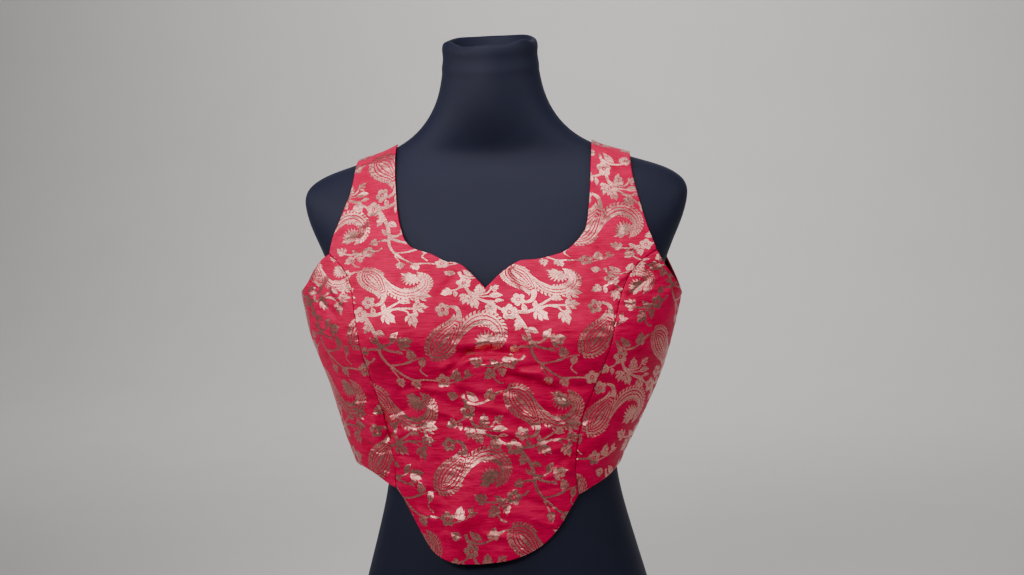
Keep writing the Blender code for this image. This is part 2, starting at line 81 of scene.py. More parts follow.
FORM_RINGS = (
    FormRing(0, 153, 92, 108, 2.35),
    FormRing(1.5, 157, 95, 112, 2.35),
    FormRing(6, 159.5, 97, 114.5, 2.35),
    FormRing(40, 163, 99, 118, 2.35),
    FormRing(90, 155, 97, 113, 2.3),
    FormRing(142, 141.5, 92, 99, 2.25),
    FormRing(190, 128, 86, 89, 2.2),
    FormRing(230, 118, 79, 81, 2.2),
    FormRing(258, 113.5, 76, 79, 2.2),
    FormRing(290, 116, 75.5, 82, 2.2),
    FormRing(330, 126, 77, 91, 2.2),
    FormRing(370, 139, 80, 99, 2.25),
    FormRing(400, 150, 82, 104, 2.3),
    FormRing(430, 159, 81.5, 106, 2.35),
    FormRing(456, 168, 78.5, 106, 2.4),
    FormRing(480, 177.5, 72.5, 103, 2.5),
    FormRing(500, 187, 65, 97, 2.55),
    FormRing(521, 192, 55, 87, 2.55),
    FormRing(530, 191, 50, 81, 2.5),
    FormRing(539, 186, 45, 75, 2.45),
    FormRing(549, 170, 38.5, 65, 2.35),
    FormRing(556, 147, 34, 57, 2.25),
    FormRing(565, 118, 32, 51, 2.15),
    FormRing(573, 100, 33, 49, 2.1),
    FormRing(584, 80, 37, 49, 2.05),
    FormRing(602, 63, 42.5, 50, 2),
    FormRing(624, 52.5, 45, 50.5, 2),
    FormRing(644, 48.8, 45.2, 49.0, 2),
)


class BlouseRing(NamedTuple):
    """One section of the blouse's outer face."""

    height: float
    right: float
    left: float
    front: float
    back: float
    power: float


BLOUSE_RINGS = (
    BlouseRing(165, 126, 106, 98, 92, 2.25),
    BlouseRing(200, 131, 109, 97, 92, 2.25),
    BlouseRing(230, 138, 113, 95, 92, 2.25),
    BlouseRing(260, 147.5, 120.5, 92.5, 94, 2.25),
    BlouseRing(290, 158, 135.5, 91, 98, 2.25),
    BlouseRing(321, 166.5, 150.5, 91, 103, 2.25),
    BlouseRing(343, 172.5, 160, 91.5, 107, 2.25),
    BlouseRing(365, 180, 167.5, 93, 110, 2.25),
    BlouseRing(397, 190.5, 176.5, 94, 112.5, 2.25),
    BlouseRing(415, 194, 181, 92.5, 114, 2.25),
    BlouseRing(434, 197, 185, 90, 114.5, 2.3),
    BlouseRing(455, 194, 186, 86.5, 113, 2.4),
    BlouseRing(470, 191, 187, 82.5, 110.5, 2.45),
    BlouseRing(490, 191, 190, 76, 105, 2.5),
    BlouseRing(510, 194, 194, 66, 97, 2.5),
)


class Lift(NamedTuple):
    """How far the strap's inside stands off the form at a height."""

    height: float
    rise: float


STRAP_LIFTS = (
    Lift(470, 0.9),
    Lift(530, 1.1),
    Lift(548, 2.4),
    Lift(558, 4.0),
    Lift(566, 3.2),
    Lift(574, 1.1),
    Lift(582, 0.9),
)


class Cup(NamedTuple):
    """A bust cup: its apex, its rise and its spread across, above and below."""

    x: float
    height: float
    rise: float
    across: float
    above: float
    below: float


CUPS = (
    Cup(-100, 396, 23, 47, 48, 30),
    Cup(97, 392, 23, 47, 48, 30),
)


class Fold(NamedTuple):
    """A fold along a line seen from the front: half width, and rise or (negative) depth."""

    x1: float
    z1: float
    x2: float
    z2: float
    width: float
    rise: float


FOLDS = (
    Fold(-32, 377, 0, 382, 5.5, -3.2),
    Fold(0, 382, 29, 380, 5.5, -3.0),
    Fold(-50, 369, -38, 366, 6.0, 1.8),
    Fold(19, 356, 67, 336, 5.5, -3.4),
    Fold(22, 367, 64, 350, 6.0, 2.6),
    Fold(-55, 337, -33, 327, 5.0, -2.0),
    Fold(-60, 314, -42, 316, 5.0, -1.8),
    Fold(-14, 321, 26, 310, 5.0, -1.5),
    Fold(-109, 321, -104, 298, 5.5, -4.0),
    Fold(-117, 312, -114, 292, 7.0, 3.0),
    Fold(-105, 292, -104, 262, 6.0, -2.4),
    Fold(-14, 262, -31, 216, 15.0, 3.6),
    Fold(-31, 216, -37, 180, 13.0, 3.2),
    Fold(32, 262, 45, 198, 17.0, -2.4),
    Fold(22, 226, 55, 214, 6.0, 1.8),
    Fold(66, 274, 78, 288, 6.0, -2.0),
    Fold(78, 296, 88, 315, 6.0, -1.8),
    Fold(104, 474, 105, 432, 5.0, -1.5),
    Fold(-156, 462, -172, 436, 6.0, -2.0),
    Fold(152, 452, 166, 434, 6.0, -1.8),
)
# Creases too fine for the solids
CREASES = (
    Fold(-20, 379.6, 31, 377.6, 2.8, -2.2),
    Fold(-18, 375.0, 28, 373.4, 2.8, 1.2),
    Fold(-37, 365, -19, 379, 2.8, -1.2),
    Fold(16, 357, 40, 352, 3.0, -1.6),
    Fold(40, 352, 62, 341, 3.0, -1.8),
    Fold(-36, 365, -17, 379, 3.1, -2.4),
    Fold(-44, 366, -19, 373, 3.1, 1.8),
    Fold(-30, 387, -2, 389, 3.8, 1.6),
    Fold(4, 388, 26, 386, 3.4, 1.4),
    Fold(30, 365, 46, 366, 2.8, -2.1),
    Fold(31, 360, 46, 360, 2.8, 1.6),
    Fold(-28, 371, -6, 374, 2.8, 1.6),
    Fold(-6, 367, 18, 370, 3.1, 1.4),
    Fold(-66, 352, -40, 349, 3.4, -1.9),
    Fold(-62, 345, -44, 343, 2.9, 1.6),
    Fold(-58, 325, -36, 317, 3.1, 2.1),
    Fold(-86, 343, -70, 348, 3.1, -1.6),
    Fold(-30, 349, -8, 344, 3.2, 1.4),
    Fold(-26, 340, -2, 334, 3.1, -1.8),
    Fold(0, 342, 24, 333, 3.4, 1.6),
    Fold(-20, 329, 14, 322, 3.2, 1.9),
    Fold(-34, 309, -8, 305, 3.1, -1.4),
    Fold(2, 304, 30, 299, 3.1, 1.6),
    Fold(6, 296, 26, 293, 2.8, -1.4),
    Fold(30, 328, 62, 320, 3.6, -1.8),
    Fold(34, 318, 60, 312, 3.1, 1.6),
    Fold(40, 303, 66, 307, 3.6, 1.6),
    Fold(46, 292, 72, 298, 3.1, -1.6),
    Fold(60, 349, 88, 343, 3.6, -1.8),
    Fold(66, 340, 90, 332, 3.2, 1.6),
    Fold(48, 280, 74, 288, 3.1, 1.4),
    Fold(56, 268, 76, 275, 2.9, -1.6),
    Fold(50, 257, 72, 262, 3.1, 1.4),
    Fold(46, 245, 66, 247, 2.9, -1.3),
    Fold(30, 236, 54, 229, 3.4, -1.4),
    Fold(38, 216, 58, 209, 2.9, 1.4),
    Fold(-8, 205, 26, 199, 3.1, 1.6),
    Fold(-4, 198, 24, 192, 2.9, -1.4),
    Fold(-48, 205, -28, 199, 3.1, 1.3),
    Fold(-62, 247, -46, 239, 3.1, -1.6),
    Fold(-72, 226, -58, 218, 2.9, 1.4),
    Fold(-84, 258, -66, 251, 2.9, 1.4),
    Fold(-92, 279, -72, 275, 3.1, -1.6),
    Fold(-94, 300, -76, 304, 3.1, 1.6),
    Fold(-98, 319, -82, 325, 3.1, -1.8),
    Fold(-134, 331, -114, 334, 3.4, -1.8),
    Fold(-132, 312, -118, 305, 3.2, 1.6),
    Fold(-128, 288, -112, 281, 3.1, -1.4),
    Fold(88, 305, 103, 310, 2.9, 1.6),
    Fold(87, 290, 100, 296, 2.8, -1.6),
    Fold(90, 322, 108, 330, 3.1, -1.4),
    Fold(86, 268, 98, 262, 2.9, 1.3),
    Fold(112, 438, 128, 449, 3.1, 1.9),
    Fold(126, 470, 136, 469, 2.8, -1.3),
    Fold(130, 428, 146, 441, 3.2, -1.6),
    Fold(-150, 440, -138, 430, 3.2, 1.6),
    Fold(-164, 428, -148, 416, 3.6, -1.6),
    Fold(24, 456, 35, 438, 3.8, -1.3),
    Fold(-30, 453, -45, 436, 3.8, -1.3),
    Fold(72, 468, 84, 448, 3.9, 1.3),
    Fold(-74, 470, -82, 448, 3.9, -1.4),
    Fold(-112, 505, -124, 488, 3.7, 1.3),
    Fold(112, 508, 124, 492, 3.7, -1.3),
    Fold(-60, 290, -44, 230, 14.0, 1.5),
    Fold(6, 300, 14, 236, 13.0, -1.6),
    Fold(62, 320, 70, 268, 12.0, 1.4),
    Fold(-84, 330, -78, 268, 12.0, -1.4),
)
# Creases of the back, seen from the front; the photograph doesn't show them
BACK_CREASES = (
    Fold(-92, 352, -58, 346, 4.2, -2.1),
    Fold(-88, 342, -60, 335, 3.7, 1.8),
    Fold(-52, 328, -18, 322, 4.1, -1.8),
    Fold(-46, 318, -20, 314, 3.4, 1.6),
    Fold(20, 330, 58, 338, 4.1, -1.9),
    Fold(24, 319, 52, 326, 3.6, 1.6),
    Fold(64, 352, 96, 360, 4.2, -1.9),
    Fold(70, 343, 92, 350, 3.4, 1.6),
    Fold(-74, 306, -44, 300, 3.7, 1.6),
    Fold(12, 304, 46, 300, 3.9, -1.6),
    Fold(60, 316, 90, 322, 3.7, 1.6),
    Fold(-100, 284, -72, 288, 3.7, -1.6),
    Fold(-34, 288, -10, 284, 3.6, 1.4),
    Fold(66, 290, 94, 286, 3.7, -1.6),
    Fold(-120, 402, -96, 386, 5.1, 1.8),
    Fold(98, 390, 122, 404, 5.1, 1.8),
    Fold(-64, 424, -48, 398, 8.0, -1.5),
    Fold(50, 398, 66, 422, 8.0, -1.5),
    Fold(-36, 372, -22, 300, 16.0, 1.8),
    Fold(30, 380, 26, 296, 16.0, 1.6),
    Fold(-96, 366, -88, 296, 14.0, -1.4),
    Fold(92, 372, 86, 300, 14.0, -1.4),
)


class Edge(NamedTuple):
    """A place on an edge, seen from the front or back."""

    x: float
    z: float


PRINCESS_RIGHT = (
    Edge(-97, 246), Edge(-98, 264), Edge(-102, 288), Edge(-107, 312), Edge(-112.5, 338),
    Edge(-117, 369), Edge(-121, 398), Edge(-124.5, 417), Edge(-127, 430), Edge(-130, 443),
    Edge(-135, 453.5), Edge(-145.5, 465), Edge(-157.5, 474),
)
PRINCESS_LEFT = (
    Edge(80, 236.5), Edge(78, 261), Edge(80.5, 286), Edge(86, 311), Edge(95, 336),
    Edge(104, 362), Edge(111, 384), Edge(115.5, 405), Edge(121, 425), Edge(129, 444),
    Edge(143, 460), Edge(159.5, 470),
)
HEM_FRONT = (
    Edge(-97, 246), Edge(-91.5, 240), Edge(-86, 230.5), Edge(-80, 219.5), Edge(-74, 208.5),
    Edge(-68, 197.5), Edge(-61.5, 188), Edge(-53.5, 182), Edge(-44.5, 178.5), Edge(-36, 176.7),
    Edge(-25, 176), Edge(-13, 176.2), Edge(0, 177.4), Edge(13, 179.1), Edge(24.5, 182.2),
    Edge(36, 186.6), Edge(46, 192), Edge(54, 198.8), Edge(63, 209.8), Edge(71.5, 223.5),
    Edge(80, 236.5),
)
HEM_SIDE_RIGHT = (Edge(-147.5, 262), Edge(-136, 262), Edge(-123, 258.5), Edge(-106, 250),
                  Edge(-97, 246))
HEM_SIDE_LEFT = (Edge(80, 236.5), Edge(91, 241.5), Edge(106, 248), Edge(120.5, 258))
NECKLINE_RIGHT = (
    Edge(-79.5, 487), Edge(-72, 480), Edge(-64, 477), Edge(-54.5, 474), Edge(-45, 469.3),
    Edge(-38, 466), Edge(-30.5, 465.2), Edge(-23.8, 462.3), Edge(-16.2, 455.6),
    Edge(-8.7, 448), Edge(-2, 440.5),
)
NECKLINE_LEFT = (
    Edge(-2, 440.5), Edge(4.6, 446.7), Edge(12.3, 454), Edge(21.8, 460.7),
    Edge(33, 465.8), Edge(45.5, 466.4), Edge(58, 468.7), Edge(67, 471), Edge(76, 475),
    Edge(86, 484),
)
STRAP_IN_RIGHT = (
    Edge(-79.5, 487), Edge(-85, 500.5), Edge(-89, 519.5), Edge(-92, 543.5), Edge(-95, 577),
)
STRAP_OUT_RIGHT = (
    Edge(-157.5, 474), Edge(-154, 490), Edge(-147.8, 504.5), Edge(-142, 519.5),
    Edge(-137.5, 532), Edge(-135, 545), Edge(-134, 563),
)
STRAP_IN_LEFT = (
    Edge(86, 484), Edge(93, 494.5), Edge(95.5, 510), Edge(97.5, 538), Edge(98.5, 576),
)
STRAP_OUT_LEFT = (
    Edge(159.5, 470), Edge(155.5, 482), Edge(151, 494), Edge(145.6, 513), Edge(141, 530),
    Edge(137.5, 546), Edge(135.5, 563),
)
ARMHOLE_RIGHT = (
    Edge(-197, 434), Edge(-191, 438), Edge(-183, 446), Edge(-175, 458), Edge(-166, 468.5),
    Edge(-157.5, 474),
)
ARMHOLE_LEFT = (
    Edge(184, 424), Edge(181.5, 430), Edge(173, 446), Edge(168, 454), Edge(163.5, 462.5),
    Edge(159.5, 470),
)
BACK_STRAP_OUT = (Edge(158, 478), Edge(151, 497), Edge(144.5, 515), Edge(139, 535), Edge(135, 558))
BACK_STRAP_IN = (Edge(84, 462), Edge(90, 480), Edge(94, 505), Edge(97, 535), Edge(98, 572))
BACK_NECKLINE = (Edge(84, 462), Edge(76, 447), Edge(64, 436), Edge(46, 428.5), Edge(24, 425.5),
                 Edge(0, 425))


class Face(Enum):
    """The two faces of the torso that cloth is laid on."""

    FRONT = 1
    BACK = -1


class Thread(Enum):
    """What the loom brings to the surface."""

    SILK = 0
    ZARI = 1


class Curve:
    """A monotone cubic through the rows of a short table."""

    def __init__(self, places: Sequence[float], values: Sequence[float]) -> None:
        """Works out the slopes.

        Args:
            places: where the values hold, rising.
            values: the value at each place.
        """
        self.places = np.array(places, float)
        self.values = np.array(values, float)
        rises = np.diff(self.values) / np.diff(self.places)
        product = rises[:-1] * rises[1:]
        total = rises[:-1] + rises[1:]
        total[product <= 0] = 1.0
        inner = np.where(product > 0, 2 * product / total, 0.0)
        self.slopes = np.concatenate(([rises[0]], inner, [rises[-1]]))

    def __call__(self, place: Array | float) -> Array:
        """The value at each place.

        Args:
            place: places, held within the table's ends.

        Returns:
            The values.
        """
        place = np.clip(place, self.places[0], self.places[-1])
        low = np.clip(np.searchsorted(self.places, place) - 1, 0, len(self.places) - 2)
        span = self.places[low + 1] - self.places[low]
        f = (place - self.places[low]) / span
        return (
            (1 + 2 * f) * (1 - f) ** 2 * self.values[low]
            + f * (1 - f) ** 2 * span * self.slopes[low]
            + f * f * (3 - 2 * f) * self.values[low + 1]
            - f * f * (1 - f) * span * self.slopes[low + 1]
        )


def table_curves(rows: Sequence[NamedTuple]) -> dict[str, Curve]:
    """One curve over the height for each other column of a table.

    Args:
        rows: the table, its first column a height.

    Returns:
        The curves by column name.
    """
    heights = [row.height * MM for row in rows]
    return {
        name: Curve(heights, [getattr(row, name) * (1 if name == "power" else MM) for row in rows])
        for name in rows[0]._fields[1:]
    }


def smoothstep(low: float, high: float, value: Array) -> Array:
    """Zero below low, one above high, and smooth between them."""
    f = np.clip((value - low) / (high - low), 0.0, 1.0)
    return f * f * (3 - 2 * f)


def chain(edges: Sequence[Edge], step: float = 2.5 * MM) -> Array:
    """Points along a table of edges.

    Args:
        edges: the table.
        step: the distance between points.

    Returns:
        Rows of (x, z) in metres.
    """
    points = np.array(edges, float) * MM
    lengths = np.concatenate(([0.0], np.cumsum(np.hypot(*np.diff(points, axis=0).T))))
    count = max(2, round(lengths[-1] / step))
    where = np.linspace(0, lengths[-1], count + 1)
    return np.stack([Curve(lengths, points[:, k])(where) for k in (0, 1)], axis=1)


class Torso:
    """The surface that all the panels lie on: an angle round the body, and a height."""

    STEEPEST = 4.0
    SIDEWAYS = 0.4
    FOLD_FADE = 2.5
    GIRTH_RADIUS = 150 * MM
    RIDGE_LOW = 522 * MM
    RIDGE_HIGH = 640 * MM
    HALVINGS = 40

    def __init__(self) -> None:
        """Turns the tables of sections into curves."""
        self.form = table_curves(FORM_RINGS)
        self.blouse = table_curves(BLOUSE_RINGS)
        self.lift = table_curves(STRAP_LIFTS)["rise"]

    def ring(self, z: Array) -> tuple[Array, ...]:
        """The section at each height.

        Args:
            z: heights.

        Returns:
            Centre, half width, depth before, depth behind, and power.
        """
        names = ("half", "front", "back")
        lift = self.lift(z) + WALL
        lifted = []
        for name in names:
            curve = self.form[name]
            slope = (curve(z + NUMERIC_STEP) - curve(z - NUMERIC_STEP)) / (2 * NUMERIC_STEP)
            slope = np.minimum(np.abs(slope), self.STEEPEST)
            lifted.append(curve(z) + lift * np.hypot(1, slope))
        right = self.blouse["right"](z)
        left = self.blouse["left"](z)
        own = ((left - right) / 2, (left + right) / 2, self.blouse["front"](z),
               self.blouse["back"](z), self.blouse["power"](z))
        over = (np.zeros_like(z), *lifted, self.form["power"](z))
        weight = smoothstep(BLEND_LOW, BLEND_HIGH, z)
        return tuple(a + (b - a) * weight for a, b in zip(own, over))

    @staticmethod
    def folds(table: Sequence[Fold], x: Array, z: Array) -> Array:
        """The rise of a table of folds at places seen from the front.

        Args:
            table: the folds.
            x: places across.
            z: heights.

        Returns:
            The sum of their rises, in metres.
        """
        total = np.zeros_like(x)
        for fold in table:
            ax, az = fold.x1 * MM, fold.z1 * MM
            bx, bz = fold.x2 * MM - ax, fold.z2 * MM - az
            near = np.clip(((x - ax) * bx + (z - az) * bz) / (bx * bx + bz * bz), 0.0, 1.0)
            away = np.hypot(x - ax - near * bx, z - az - near * bz) / (fold.width * MM)
            total += fold.rise * MM * np.exp(-away * away)
        return total

    def point(self, angle: Array, z: Array, creased: bool = True) -> Array:
        """Points of the blouse's outer face.

        Args:
            angle: angles round the body, zero at the centre front.
            z: heights.
            creased: whether the folds are on it.

        Returns:
            Rows of x, y and z.
        """
        centre, half, front, back, power = self.ring(z)
        sine, cosine = np.sin(angle), np.cos(angle)
        x = centre + half * np.sign(sine) * np.abs(sine) ** (2 / power)
        along = np.sign(cosine) * np.abs(cosine) ** (2 / power)
        y = -np.where(along > 0, front, back) * along
        lean = np.maximum(cosine, 0.0)
        rise = np.zeros_like(x)
        for cup in CUPS:
            spread = np.where(z > cup.height * MM, cup.above, cup.below) * MM
            dx = (x - cup.x * MM) / (cup.across * MM)
            dz = (z - cup.height * MM) / spread
            rise += cup.rise * MM * np.exp(-(dx * dx + dz * dz) / 2) * np.sqrt(lean)
        if creased:
            before = self.folds(FOLDS, x, z) + self.folds(CREASES, x, z)
            behind = self.folds(BACK_CREASES, x, z)
            rise += before * np.minimum(1.0, self.FOLD_FADE * lean)
            rise -= behind * np.minimum(1.0, self.FOLD_FADE * np.maximum(-cosine, 0.0))
        return np.stack([x + rise * sine * self.SIDEWAYS, y - rise, z], axis=-1)

    def normal(self, angle: Array, z: Array) -> Array:
        """Outward normals of the outer face.

        Args:
            angle: angles round the body.
            z: heights.

        Returns:
            Rows of unit length.
        """
        da = NUMERIC_STEP / self.GIRTH_RADIUS * 2
        dz = NUMERIC_STEP * 2
        around = self.point(angle + da, z) - self.point(angle - da, z)
        up = self.point(angle, z + dz) - self.point(angle, z - dz)
        cross = np.cross(around, up)
        return cross / np.linalg.norm(cross, axis=-1, keepdims=True)

    def ridge(self, x: Array) -> Array:
        """Height of the shoulder line at each distance from the centre.

        Args:
            x: distances, positive towards +X.

        Returns:
            The heights.
        """
        low = np.full_like(x, self.RIDGE_LOW)
        high = np.full_like(x, self.RIDGE_HIGH)
        for _ in range(self.HALVINGS):
            middle = (low + high) / 2
            centre, half = self.ring(middle)[:2]
            inside = centre * np.sign(x) + half > np.abs(x)
            low = np.where(inside, middle, low)
            high = np.where(inside, high, middle)
        return (low + high) / 2


class Chart:
    """Lays one face of the torso flat, and back again.

    Turn is an angle from the centre front or back, positive towards +X and a quarter turn at the
    side. Below the strap u is the distance round the section. On the strap u keeps its x.
    """

    STRAP_FOOT = 484 * MM
    LOWEST = 150 * MM
    BODY_LINE = 60 * MM
    STRAP_LINE = 115 * MM
    NODES = 72
    LEVELS = 170
    SHARES = 160

    def __init__(self, torso: Torso, face: Face) -> None:
        """Measures the body and the strap once.

        Args:
            torso: the surface.
            face: which side of it.
        """
        self.torso = torso
        self.face = face
        self.nodes = (1 - np.cos(np.linspace(0, math.pi, self.NODES))) * math.pi / 4
        self.levels = np.linspace(self.LOWEST, self.STRAP_FOOT, self.LEVELS)
        sides = []
        for x in (-self.BODY_LINE, self.BODY_LINE):
            sides.append(self.lengths_up(x, self.levels))
        lengths = (sides[0] + sides[1]) / 2
        self.drops = lengths - lengths[-1]
        self.shares = np.linspace(0, 1, self.SHARES)
        top = self.torso.ridge(np.array([self.STRAP_LINE]))[0]
        climb = self.STRAP_FOOT + (top - self.STRAP_FOOT) * (1 - (1 - self.shares) ** 2)
        self.climbs = self.lengths_up(self.STRAP_LINE, climb)
        self.top = self.climbs[-1]

    def lengths_up(self, x: float, z: Array) -> Array:
        """Distances over the face along a line of one x, from its first height to each."""
        line = self.bare(self.turn_at(np.full_like(z, x), z), z)
        steps = np.linalg.norm(np.diff(line, axis=0), axis=1)
        return np.concatenate(([0.0], np.cumsum(steps)))

    def angle(self, turn: Array) -> Array:
        """The angle round the body of each turn."""
        if self.face is Face.FRONT:
            return turn
        return np.where(turn < 0, -math.pi, math.pi) - turn

    def bare(self, turn: Array, z: Array) -> Array:
        """Points of the face without its folds."""
        return self.torso.point(self.angle(turn), z, creased=False)

    def turn_at(self, x: Array, z: Array) -> Array:
        """The turn at which the section has this x."""
        centre, half, _, _, power = self.torso.ring(z)
        share = np.clip(np.abs(x - centre) / half, 0.0, 1.0) ** (power / 2)
        return np.sign(x - centre) * np.arcsin(np.clip(share, 0.0, 1.0))

    def girths(self, z: Array) -> Array:
        """Distances round the section from its centre to each node, one row for each height.

        Args:
            z: heights.

        Returns:
            The distances.
        """
        centre, half, front, back, power = self.torso.ring(z)
        depth = front if self.face is Face.FRONT else back
        across = half[:, None] * np.sin(self.nodes)[None] ** (2 / power[:, None])
        cosine = np.maximum(np.cos(self.nodes), 0.0)[None]
        along = depth[:, None] * cosine ** (2 / power[:, None])
        steps = np.hypot(np.diff(across, axis=1), np.diff(along, axis=1))
        return np.concatenate((np.zeros((len(z), 1)), np.cumsum(steps, axis=1)), axis=1)

    def around(self, turn: Array, z: Array) -> Array:
        """The distance u round the section at each turn.

        Args:
            turn: turns from the centre.
            z: heights.

        Returns:
            The distances.
        """
        girths = self.girths(z)
        size = np.abs(turn)
        low = np.clip(np.searchsorted(self.nodes, size) - 1, 0, self.NODES - 2)
        rows = np.arange(len(z))
        f = (size - self.nodes[low]) / (self.nodes[low + 1] - self.nodes[low])
        reach = girths[rows, low] * (1 - f) + girths[rows, low + 1] * f
        return self.torso.ring(z)[0] + np.sign(turn) * reach

    def turn_of(self, u: Array, z: Array) -> Array:
        """The turn at each distance u round the section.

        Args:
            u: distances round the section.
            z: heights.

        Returns:
            The turns.
        """
        girths = self.girths(z)
        away = u - self.torso.ring(z)[0]
        size = np.minimum(np.abs(away), girths[:, -1])
        low = np.clip((girths <= size[:, None]).sum(axis=1) - 1, 0, self.NODES - 2)
        rows = np.arange(len(z))
        start, end = girths[rows, low], girths[rows, low + 1]
        f = (size - start) / (end - start)
        return np.sign(away) * (self.nodes[low] * (1 - f) + self.nodes[low + 1] * f)

    def flat(self, turn: Array, z: Array) -> Array:
        """Lays places flat.

        Args:
            turn: turns from the centre.
            z: heights.

        Returns:
            Rows of (u, v).
        """
        foot = np.full_like(z, self.STRAP_FOOT)
        low = np.minimum(z, foot)
        centre, half, _, _, power = self.torso.ring(z)
        x = centre + half * np.sign(turn) * np.abs(np.sin(turn)) ** (2 / power)
        on_strap = z > self.STRAP_FOOT
        turn_low = np.where(on_strap, self.turn_at(x, foot), turn)
        u = self.around(turn_low, low)
        share = np.clip((z - foot) / (self.torso.ridge(x) - foot), 0.0, 1.0)
        climb = np.interp(1 - np.sqrt(1 - share), self.shares, self.climbs)
        v = np.where(on_strap, climb, np.interp(low, self.levels, self.drops))
        return np.stack([u, v], axis=1)

    def flat_edge(self, points: Array) -> Array:
        """Lays rows of (x, z) flat."""
        return self.flat(self.turn_at(points[:, 0], points[:, 1]), points[:, 1])

    def place(self, uv: Array) -> tuple[Array, Array]:
        """Finds flat places on the body.

        Args:
            uv: rows of (u, v).

        Returns:
            Their turns and heights.
        """
        u, v = uv[:, 0], uv[:, 1]
        foot = np.full_like(v, self.STRAP_FOOT)
        z_low = np.interp(v, self.drops, self.levels)
        turn_low = self.turn_of(u, z_low)
        centre, half, _, _, power = self.torso.ring(foot)
        turn_foot = self.turn_of(u, foot)
        x = centre + half * np.sign(turn_foot) * np.abs(np.sin(turn_foot)) ** (2 / power)
        share = 1 - (1 - np.interp(v, self.climbs, self.shares)) ** 2
        z_high = foot + (self.torso.ridge(x) - foot) * share
        on_strap = v > 0
        z = np.where(on_strap, z_high, z_low)
        return np.where(on_strap, self.turn_at(x, z_high), turn_low), z


class Loop(NamedTuple):
    """A closed outline in the drawing, in millimetres."""

    thread: Thread
    points: Array


def smooth_line(points: Sequence[Place], per_span: int) -> Array:
    """A smooth line through points.

    Args:
        points: the points.
        per_span: steps between two of them.

    Returns:
        Rows of (x, y).
    """
    p = np.array(points, float)
    p = np.concatenate((2 * p[:1] - p[1:2], p, 2 * p[-1:] - p[-2:-1]))
    out = []
    for a, b, c, d in zip(p, p[1:], p[2:], p[3:]):
        for i in range(per_span):
            t = i / per_span
            out.append(
                0.5 * (2 * b + (c - a) * t + (2 * a - 5 * b + 4 * c - d) * t * t
                       + (3 * b - a - 3 * c + d) * t ** 3)
            )
    out.append(p[-2])
    return np.array(out)


def ribbon(line: Array, widths: Sequence[float], left: float = 1.0, right: float = 1.0) -> Array:
    """A band along a line, pointed or blunt as its widths say.

    Args:
        line: the middle line.
        widths: half widths, evenly spread along it.
        left: share of the half width on the left.
        right: share on the right; a negative one keeps the band on one side.

    Returns:
        The band's outline.
    """
    along = np.gradient(line, axis=0)
    along /= np.linalg.norm(along, axis=1, keepdims=True)
    side = np.stack([-along[:, 1], along[:, 0]], axis=1)
    size = np.interp(np.linspace(0, 1, len(line)), np.linspace(0, 1, len(widths)), widths)
    return np.concatenate(
        (line + side * (size * left)[:, None], (line - side * (size * right)[:, None])[::-1])
    )


def circle(size: float, sides: int, turn: float = 0.0) -> Array:
    """A circle's outline about the origin, as a regular polygon."""
    ring = np.linspace(0, 2 * math.pi, sides + 1)[:-1] + turn
    return np.stack([np.cos(ring), np.sin(ring)], axis=1) * size


def heading(angle: float) -> Array:
    """The unit step in a direction."""
    return np.array([math.cos(angle), math.sin(angle)])


LEAF_STEPS = 7
LEAF_FULLNESS = 0.85
NOTCH_EVERY = 3
NOTCH_DEPTH = 0.34


def leaf(base: Array, tip: Array, width: float, teeth: int = 0, bend: float = 0.0) -> Array:
    """A leaf's outline.

    Args:
        base: where it grows from.
        tip: its point.
        width: its half width.
        teeth: notches on each side.
        bend: sideways bow, as a share of its length.

    Returns:
        The outline.
    """
    base, tip = np.array(base, float), np.array(tip, float)
    axis = tip - base
    side = np.array([-axis[1], axis[0]])
    steps = NOTCH_EVERY * teeth if teeth else LEAF_STEPS
    t = np.linspace(0, 1, steps + 1)
    size = width / np.linalg.norm(axis) * np.sin(np.pi * t ** LEAF_FULLNESS)
    if teeth:
        size *= 1 - NOTCH_DEPTH * (np.arange(steps + 1) % NOTCH_EVERY == NOTCH_EVERY - 1)
    middle = base + axis * t[:, None] + side * (bend * np.sin(np.pi * t))[:, None]
    return np.concatenate(
        (middle + side * size[:, None], (middle - side * size[:, None])[-2:0:-1])
    )


class Stem(NamedTuple):
    """A stem of the pattern: the points that it passes, and its half widths at both ends."""

    points: tuple[Place, ...]
    start: float
    end: float


class Leaf(NamedTuple):
    """A leaf of the pattern, from its foot to its tip; a lobed one has three toothed parts."""

    x1: float
    y1: float
    x2: float
    y2: float
    width: float
    lobed: bool


